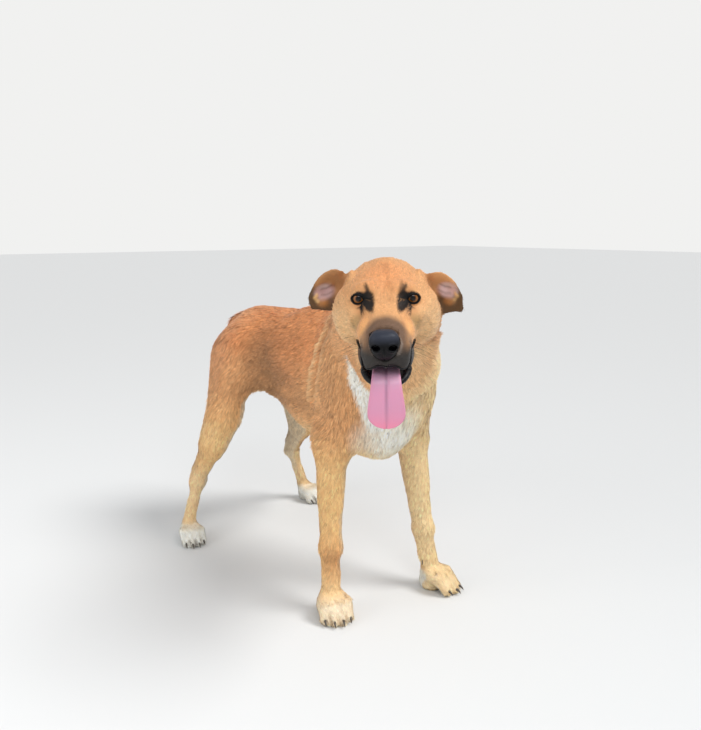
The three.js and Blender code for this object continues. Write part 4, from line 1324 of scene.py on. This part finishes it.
def give_colours(mesh, name, values):
    """Paints a colour attribute, one value for each point."""
    layer = mesh.attributes.new(name, "FLOAT_COLOR", "POINT")
    layer.data.foreach_set("color", np.hstack([values, np.ones((len(values), 1))]).astype(np.float32).ravel())


ears = [FLESH.index("ear_right"), FLESH.index("ear_left")]
on_ear = spread(np.isin(part, ears), 2)[:, 0]
skin_colour = coat_colour(points_of(skin), normals_of(skin), on_ear, mouth, lid_depth, cleft)
skin_colour += under_nose[:, None] * (np.array(BLACK) - skin_colour)
give_colours(skin.data, "Coat", 0.95 * skin_colour)
print("markings painted")

# %% [markdown]
# ## The lie of the coat
#
# Hair grows back from the nose over the head, down the neck, back along the trunk and down the legs. Each
# part gets one direction, the directions are run together over the skin, and each is laid flat on the
# surface.

# %% Directions
LIE = {  # which way the hair lies, by the beginning of a part's name
    "thigh": (0, 0.6, -1.0), "foreleg": (0, 0.25, -1.0), "hindleg": (0, 0.2, -1.0), "tail": (0, 0.5, -1.0),
}


def flow_field():
    """The direction in which the hair lies at each point of the skin."""
    places, outwards = points_of(skin), normals_of(skin)
    flow = np.tile([0.0, 1.0, -0.45], (COUNT, 1))
    names = np.array(FLESH)[part]
    chest = soft(-places[:, 1], 60, 170)[:, None]
    flow += chest * (np.array([0.0, 0.15, -1.0]) - flow)
    away = unit(to_head(places) - [0, -112, -16]) @ head_axes
    for start, way in (("head", away), ("lower", away), ("neck", unit(places - head_origin + 40 * UP))):
        picked = np.char.startswith(names, start)
        flow[picked] = way[picked]
    for start, way in LIE.items():
        flow[np.char.startswith(names, start)] = unit(way)
    for side, sign in (("right", -1), ("left", 1)):
        flow[names == f"ear_{side}"] = turned(unit([0.8 * sign, 0.1, -0.6]))
    for end in PAWS:
        flow[names == f"paw_{end}"] = unit(ahead_of(end) - 0.5 * UP)
    flow = spread(flow, 40)
    return unit(flow - (flow * outwards).sum(axis=1, keepdims=True) * outwards)


flow = flow_field()
print("lie of the coat set")

# %% [markdown]
# ## Tufts
#
# Each tuft is a flat kite of two triangles: a root, a widest place and a tip, leaning back along the lie of
# the coat. Tufts come in locks of eight that draw together at their tips, as damp or well-kept short hair
# does. Their shading follows the skin below them, which keeps the coat smooth, while their tips and shadows
# break it up.

# %% Sowing tufts
LOCK = 8  # tufts in a lock
DENSITY = {  # tufts on each square millimetre
    "head": 1.5, "lower": 1.3, "muzzle": 2.2, "skull": 1.45, "cheek": 1.25, "ear": 2.2, "neck": 0.85,
    "trunk": 0.62, "tail": 0.6, "thigh": 0.68, "foreleg": 0.95, "hindleg": 0.95, "paw": 1.1,
}
COAT_PIECES = {
    "face": ("head", "lower_jaw"), "ears": ("ear_right", "ear_left"), "neck": ("neck",), "trunk": ("trunk",),
    "tail": ("tail",), "thighs": ("thigh_right", "thigh_left"), "forelegs": ("foreleg_right", "foreleg_left"),
    "hindlegs": ("hindleg_right", "hindleg_left"),
    "paws": ("paw_fore_right", "paw_fore_left", "paw_hind_right", "paw_hind_left"),
}
PIECE_LIMIT = 92000  # tufts in one piece
LOCK_SWAY, TUFT_LEAN, TUFT_TWIST = 0.12, 0.07, 0.12  # how far locks and tufts turn at random
LOCK_REACH = 0.42  # how far the tufts of a lock spread, as a share of the room it has
ROOT_DEEP = 0.25  # how far the roots lie under the skin
WIDEST_AT = 0.42  # along the tuft
ACROSS_TUFT = (0.88, 0.99, 0.99, 1.08)  # how light the root, the sides and the tip are
dice = np.random.default_rng(7)

skin.data.calc_loop_triangles()
triangles = read(skin.data.loop_triangles, "vertices", 3, np.int32)
skin_points, skin_normals = points_of(skin), normals_of(skin)
corners = skin_points[triangles]
upright = np.cross(corners[:, 1] - corners[:, 0], corners[:, 2] - corners[:, 0])
triangle_area = np.linalg.norm(upright, axis=1) / 2
triangle_part = part[triangles[:, 0]]
triangle_density = coat_table(corners.mean(axis=1), triangle_part, DENSITY)
triangle_bare = bare[triangles].mean(axis=1)
print("skin", round(triangle_area.sum() / 1e6, 3), "square metres")


def sow(parts, thin=1.0):
    """Locks of tufts over some parts of the skin, with what each has of the skin below it."""
    wanted = np.isin(triangle_part, [FLESH.index(name) for name in parts])
    share = triangle_area * triangle_density * wanted * (triangle_bare < 0.5) * thin
    total = share.cumsum()
    locks = int(total[-1] / LOCK)
    chosen = np.searchsorted(total, dice.random(locks) * total[-1])
    a, b = dice.random((2, locks))
    a, b = np.where(a + b > 1, 1 - a, a), np.where(a + b > 1, 1 - b, b)
    weights = np.stack([1 - a - b, a, b], axis=1)[:, :, None]
    mix = lambda values: (values[triangles[chosen]] * weights).sum(axis=1)
    return {
        "root": mix(skin_points), "out": unit(mix(skin_normals)), "flow": mix(flow),
        "length": mix(length[:, None])[:, 0], "lids": mix(lid_depth[:, None])[:, 0],
        "ear": mix(on_ear[:, None])[:, 0], "cleft": mix(cleft[:, None])[:, 0],
        "density": triangle_density[chosen],
    }


def grow(lock):
    """The four corners, colours, normals and root places of every tuft of these locks."""
    count = len(lock["root"])
    out = lock["out"]
    sway = dice.normal(0, LOCK_SWAY, count)
    across = np.cross(out, lock["flow"])
    flow_here = unit(lock["flow"] + sway[:, None] * across)
    side = np.cross(out, flow_here)
    tuft = lambda values: np.repeat(values, LOCK, axis=0)
    many = count * LOCK
    spacing = tuft((LOCK / lock["density"]) ** 0.5 * LOCK_REACH)
    off_side, off_along = dice.normal(0, 1, (2, many)) * spacing
    out, flow_here, side = tuft(out), tuft(flow_here), tuft(side)
    long = tuft(lock["length"] * dice.normal(1, 0.10, count)) * dice.normal(1, 0.13, many).clip(0.6, 1.4)
    root = tuft(lock["root"]) + off_side[:, None] * side + off_along[:, None] * flow_here - ROOT_DEEP * out
    lean = dice.normal(0, TUFT_LEAN, many)
    way = unit(flow_here + (lean - 0.5 * off_side / long)[:, None] * side)
    wide = (0.26 + 0.046 * long) * dice.normal(1, 0.2, many).clip(0.5, 1.6)
    high = long * (0.065 + 0.04 * dice.random(many)) + 0.08
    knee = root + (WIDEST_AT * long)[:, None] * way + high[:, None] * out
    tip = root + long[:, None] * way + (high * dice.normal(1.0, 0.25, many))[:, None] * out
    twist = dice.normal(0, TUFT_TWIST, many)
    edge = unit(side + twist[:, None] * out) * wide[:, None] / 2
    places = np.stack([root, knee + edge, knee - edge, tip], axis=1)
    places[:, :, 2] = np.maximum(places[:, :, 2], 0.3)
    colour = coat_colour(root, out, tuft(lock["ear"]), 0 * long, tuft(lock["lids"]), tuft(lock["cleft"]))
    contrast = 0.75 + 0.25 * soft(lock["length"], 6, 13)
    shade = tuft(dice.normal(1, 0.13, count) * contrast + 1 - contrast) * dice.normal(1, 0.08, many)
    warm = tuft(dice.normal(0, 0.02, count))
    colour = colour * shade[:, None] * (1 + np.stack([warm, 0 * warm, -warm], axis=1))
    colours = (colour[:, None, :] * np.array(ACROSS_TUFT)[None, :, None]).clip(0.004, 0.95)
    normals = unit(out + 0.09 * dice.normal(0, 1, (many, 3)))
    return places, colours, np.repeat(normals[:, None], 4, axis=1), root, out


def unwrapped(root, out):
    """Where each root lies on an unwrap of the skin: six flat views of the body, one to a cell of the map."""
    axis = np.abs(out).argmax(axis=1)
    view = 2 * axis + (out[np.arange(len(out)), axis] > 0)
    place = np.empty((len(root), 2))
    for number in range(6):
        picked = view == number
        if not picked.any():
            continue
        flat = np.delete(root[picked], number // 2, axis=1)
        low = flat.min(axis=0)
        size = max((flat.max(axis=0) - low).max() * 1.02, 1.0)
        cell = np.array([number % 3, number // 3]) * [1 / 3, 1 / 2]
        place[picked] = cell + 0.008 + (flat - low) / size * 0.31
    return place


def coat_piece(name, grown):
    """A mesh of tufts with its colours, its unwrap and the shading of the skin below it."""
    places, colours, normals, root, out = grown
    count = len(places)
    mesh = bpy.data.meshes.new(name)
    mesh.vertices.add(count * 4)
    mesh.vertices.foreach_set("co", (places * MM).astype(np.float32).ravel())
    corner = (np.arange(count)[:, None] * 4 + [0, 2, 1, 1, 2, 3]).astype(np.int32)
    mesh.loops.add(count * 6)
    mesh.loops.foreach_set("vertex_index", corner.ravel())
    mesh.polygons.add(count * 2)
    mesh.polygons.foreach_set("loop_start", np.arange(0, count * 6, 3, dtype=np.int32))
    mesh.polygons.foreach_set("loop_total", np.full(count * 2, 3, np.int32))
    mesh.update(calc_edges=True)
    give_colours(mesh, "Coat", colours.reshape(-1, 3))
    kite = np.array([[0, 0], [0.0015, 0.0012], [-0.0015, 0.0012], [0, 0.003]])
    spread_out = (unwrapped(root, out)[:, None, :] + kite).reshape(-1, 2)
    uv = spread_out[corner.ravel()].astype(np.float32)
    mesh.uv_layers.new(name="OFBake").data.foreach_set("uv", uv.ravel())
    layer = mesh.attributes.new("custom_normal", "FLOAT_VECTOR", "POINT")
    layer.data.foreach_set("vector", normals.astype(np.float32).ravel())
    return linked(name, mesh)


coat = []
for name, parts in COAT_PIECES.items():
    lock = sow(parts, 1.0)
    pieces = math.ceil(len(lock["root"]) * LOCK / PIECE_LIMIT)
    order = np.argsort(lock["root"][:, 0]) if pieces > 1 else np.arange(len(lock["root"]))
    for number, picked in enumerate(np.array_split(order, pieces)):
        title = f"coat_{name}" + (f"_{number + 1}" if pieces > 1 else "")
        coat.append(coat_piece(title, grow({key: value[picked] for key, value in lock.items()})))
        print(title, len(picked) * LOCK, "tufts")
print("coat", sum(len(piece.data.polygons) for piece in coat), "triangles")

# %% [markdown]
# ## Materials
#
# Each finish is made once. Colours that vary are painted as attributes on the meshes or made by noise in
# the material.

# %% Finishes
def finish_of(name, roughness, specular, colour=None, tint=None, bumps=None, **settings):
    """A finish with a plain colour or a painted one, fine bumps and further settings of the shader."""
    material = bpy.data.materials.new(name)
    material.use_nodes = True
    nodes, links = material.node_tree.nodes, material.node_tree.links
    shader = nodes["Principled BSDF"]
    settings.update({"Roughness": roughness, "Specular IOR Level": specular})
    if colour:
        settings["Base Color"] = (*colour, 1)
    for socket, value in settings.items():
        shader.inputs[socket.replace("_", " ")].default_value = value
    if tint:
        attribute = nodes.new("ShaderNodeAttribute")
        attribute.attribute_name = tint
        links.new(attribute.outputs["Color"], shader.inputs["Base Color"])
    if bumps:
        kind, scale, depth, strength = bumps
        pattern, bump = nodes.new(kind), nodes.new("ShaderNodeBump")
        pattern.inputs["Scale"].default_value = scale
        links.new(nodes.new("ShaderNodeTexCoord").outputs["Object"], pattern.inputs["Vector"])
        bump.inputs["Strength"].default_value = strength
        bump.inputs["Distance"].default_value = depth * MM
        links.new(pattern.outputs[0], bump.inputs["Height"])
        links.new(bump.outputs["Normal"], shader.inputs["Normal"])
    return material


NOISE, CELLS = "ShaderNodeTexNoise", "ShaderNodeTexVoronoi"
coat_finish = finish_of("short_coat", 0.62, 0.24, tint="Coat", Sheen_Weight=0.12, Sheen_Roughness=0.4)
skin_finish = finish_of("skin_under_coat", 0.6, 0.2, tint="Coat", bumps=(NOISE, 900, 0.5, 0.6))
leather_finish = finish_of("nose_leather", 0.42, 0.16, tint="Tint", bumps=(CELLS, 900, 0.22, 0.5))
rim_finish = finish_of("lid_edge", 0.5, 0.08, (0.004, 0.004, 0.004))
lip_finish = finish_of("wet_lip", 0.36, 0.2, (0.006, 0.0055, 0.006), bumps=(NOISE, 500, 0.5, 0.6))
tongue_finish = finish_of(
    "tongue_finish", 0.42, 0.5, tint="Tint", bumps=(CELLS, 1300, 0.25, 0.6),
    Coat_Weight=0.25, Coat_Roughness=0.25, Subsurface_Weight=0.12, Subsurface_Radius=(0.004, 0.0015, 0.001),
)
claw_finish = finish_of("dark_horn", 0.4, 0.4, (0.085, 0.068, 0.055), bumps=(NOISE, 400, 0.2, 0.6))
print("finishes ready")

# %% [markdown]
# The tongue is pink on its body and redder at its tip; painted shade makes it greyish at its root and dark
# along its groove. The nose leather is nearly black, with a painted bluish sheen on top and painted shade
# on its lower part.

# %% Colours of the tongue and the nose leather
TONGUE_ROOT_SHADE, TONGUE_BODY, TONGUE_TIP = (0.34, 0.21, 0.28), (0.66, 0.275, 0.41), (0.84, 0.245, 0.37)
TONGUE_GROOVE_SHADE, TONGUE_EDGE, GROOVE_HALF = (0.30, 0.14, 0.22), (0.66, 0.23, 0.35), 0.028
# the leather's colours: a painted bluish sheen on top, painted shade below
NOSE_TOP_SHEEN, NOSE_LOW_SHADE = (0.028, 0.031, 0.043), (0.0015, 0.0015, 0.002)


def blend(a, b, share):
    """From colour a to colour b, by a share for each point."""
    return np.array(a) + np.asarray(share)[:, None] * (np.array(b) - np.array(a))


along = np.repeat(np.linspace(0, 1, TONGUE_RINGS), TONGUE_SIDES)
over = np.tile(across, TONGUE_RINGS)
upper = np.tile(lift > 0, TONGUE_RINGS)
# painted shade: greyish at the root, where the tongue leaves the mouth
tint = blend(TONGUE_ROOT_SHADE, TONGUE_BODY, soft(along, 0.30, 0.62))
tint = blend(tint, TONGUE_TIP, soft(along, 0.70, 0.97))
tint = blend(tint, TONGUE_EDGE, 0.5 * soft(np.abs(over), 0.75, 1.0))
in_groove = (0.75 - 0.45 * soft(along, 0.4, 0.9)) * np.exp(-((over / GROOVE_HALF) ** 2)) * upper
# painted shade along the groove down the tongue's middle
tint = blend(tint, TONGUE_GROOVE_SHADE, in_groove)
give_colours(tongue.data, "Tint", np.vstack([tint, tint[0], tint[-1]]))
# painted sheen on the nose's top, painted shade on its lower part
nose_tint = blend(np.tile(NOSE_LOW_SHADE, (len(nose_height), 1)), NOSE_TOP_SHEEN, soft(nose_height, -1, 11))
give_colours(nose.data, "Tint", nose_tint)
print("tongue and leather coloured")

# %% [markdown]
# ## Eyes
#
# The iris is amber with a black pupil and a dark rim, told by the way from the front of the ball along its
# UV map. Fine rays of noise run outwards through it, and a clear coat gives the wet shine.

# %% Eyes
RAMP = (  # a place on the ramp and its colour
    (0.0, (0.003, 0.003, 0.003)), (0.27, (0.003, 0.003, 0.003)), (0.33, (0.05, 0.018, 0.006)),
    (0.46, (0.22, 0.075, 0.014)), (0.60, (0.27, 0.10, 0.019)), (0.69, (0.06, 0.024, 0.009)),
    (0.73, (0.008, 0.006, 0.005)), (0.88, (0.035, 0.025, 0.020)),
)
RAMP_END = 1.4  # the last place on the ramp, as a share of the iris
RAYS_WIDE = 5.0  # how large the circle is that the rays are read on

eye_finish = finish_of("amber_eye", 0.4, 0.0, Coat_Weight=0.62, Coat_Roughness=0.05)
nodes, links = eye_finish.node_tree.nodes, eye_finish.node_tree.links
where = nodes.new("ShaderNodeTexCoord")
parts = nodes.new("ShaderNodeSeparateXYZ")
links.new(where.outputs["UV"], parts.inputs[0])


def maths(operation, a, b=None):
    """One Math node; a and b are sockets or numbers."""
    node = nodes.new("ShaderNodeMath")
    node.operation = operation
    for socket, value in zip(node.inputs, (a, b)):
        if value is None:
            continue
        if isinstance(value, (int, float)):
            socket.default_value = value
        else:
            links.new(value, socket)
    return node.outputs[0]


from_middle = maths("MULTIPLY", maths("SUBTRACT", 1.0, parts.outputs["Y"]), math.pi / IRIS)
ring_colour = nodes.new("ShaderNodeValToRGB")
links.new(maths("DIVIDE", from_middle, RAMP_END), ring_colour.inputs["Fac"])
while len(ring_colour.color_ramp.elements) < len(RAMP):
    ring_colour.color_ramp.elements.new(0.5)
for element, (place, colour) in zip(ring_colour.color_ramp.elements, RAMP):
    element.position = place
    element.color = (*colour, 1)
round_angle = maths("MULTIPLY", parts.outputs["X"], 2 * math.pi)
rays = nodes.new("ShaderNodeCombineXYZ")
links.new(maths("MULTIPLY", maths("COSINE", round_angle), RAYS_WIDE), rays.inputs[0])
links.new(maths("MULTIPLY", maths("SINE", round_angle), RAYS_WIDE), rays.inputs[1])
links.new(from_middle, rays.inputs[2])
fibres = nodes.new("ShaderNodeTexNoise")
fibres.inputs["Scale"].default_value = 3.0
fibres.inputs["Detail"].default_value = 4.0
links.new(rays.outputs[0], fibres.inputs["Vector"])
lighten = nodes.new("ShaderNodeMix")
lighten.data_type = "RGBA"
lighten.blend_type = "MULTIPLY"
lighten.inputs["Factor"].default_value = 0.6
links.new(ring_colour.outputs["Color"], lighten.inputs["A"])
links.new(maths("MULTIPLY", fibres.outputs[0], 2.0), lighten.inputs["B"])
links.new(lighten.outputs["Result"], nodes["Principled BSDF"].inputs["Base Color"])
print("eye finish ready")

# %% [markdown]
# ## Dressing and attaching
#
# Each piece gets its finish. Then each piece is set to ride on the root body, and the frame's solids that it
# replaces are hidden.

# %% Dressing the pieces
for piece, finish in (
    (skin, skin_finish), (nose, leather_finish), (lips, lip_finish), (mouth_corners, lip_finish),
    (rims, rim_finish), (whiskers, rim_finish), (tongue, tongue_finish),
    (eyeballs["right"], eye_finish), (eyeballs["left"], eye_finish),
    *((claw, claw_finish) for claw, _ in claws), *((piece, coat_finish) for piece in coat),
):
    piece.data.materials.clear()
    piece.data.materials.append(finish)
print("every piece has its finish")

# %% Riding on the root body, and hiding the replaced solids
for ball, name in ((eyeballs["right"], "eye_right"), (eyeballs["left"], "eye_left")):
    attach(ball, "root")
    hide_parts(name)
for piece, replaced, slot in (
    (rims, [], "nose"),
    (whiskers, [], "nose"),
    (mouth_corners, [], "nose"),
    (nose, ["nose"], "nose"),
    (lips, [], "nose"),
    (tongue, ["tongue"], "tongue"),
    *((claw, replaced, "claw") for claw, replaced in claws),
):
    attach(piece, "root")
    if replaced:
        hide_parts(*replaced)
for piece in coat:
    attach(piece, "root")
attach(skin, "root")
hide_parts(*FLESH)
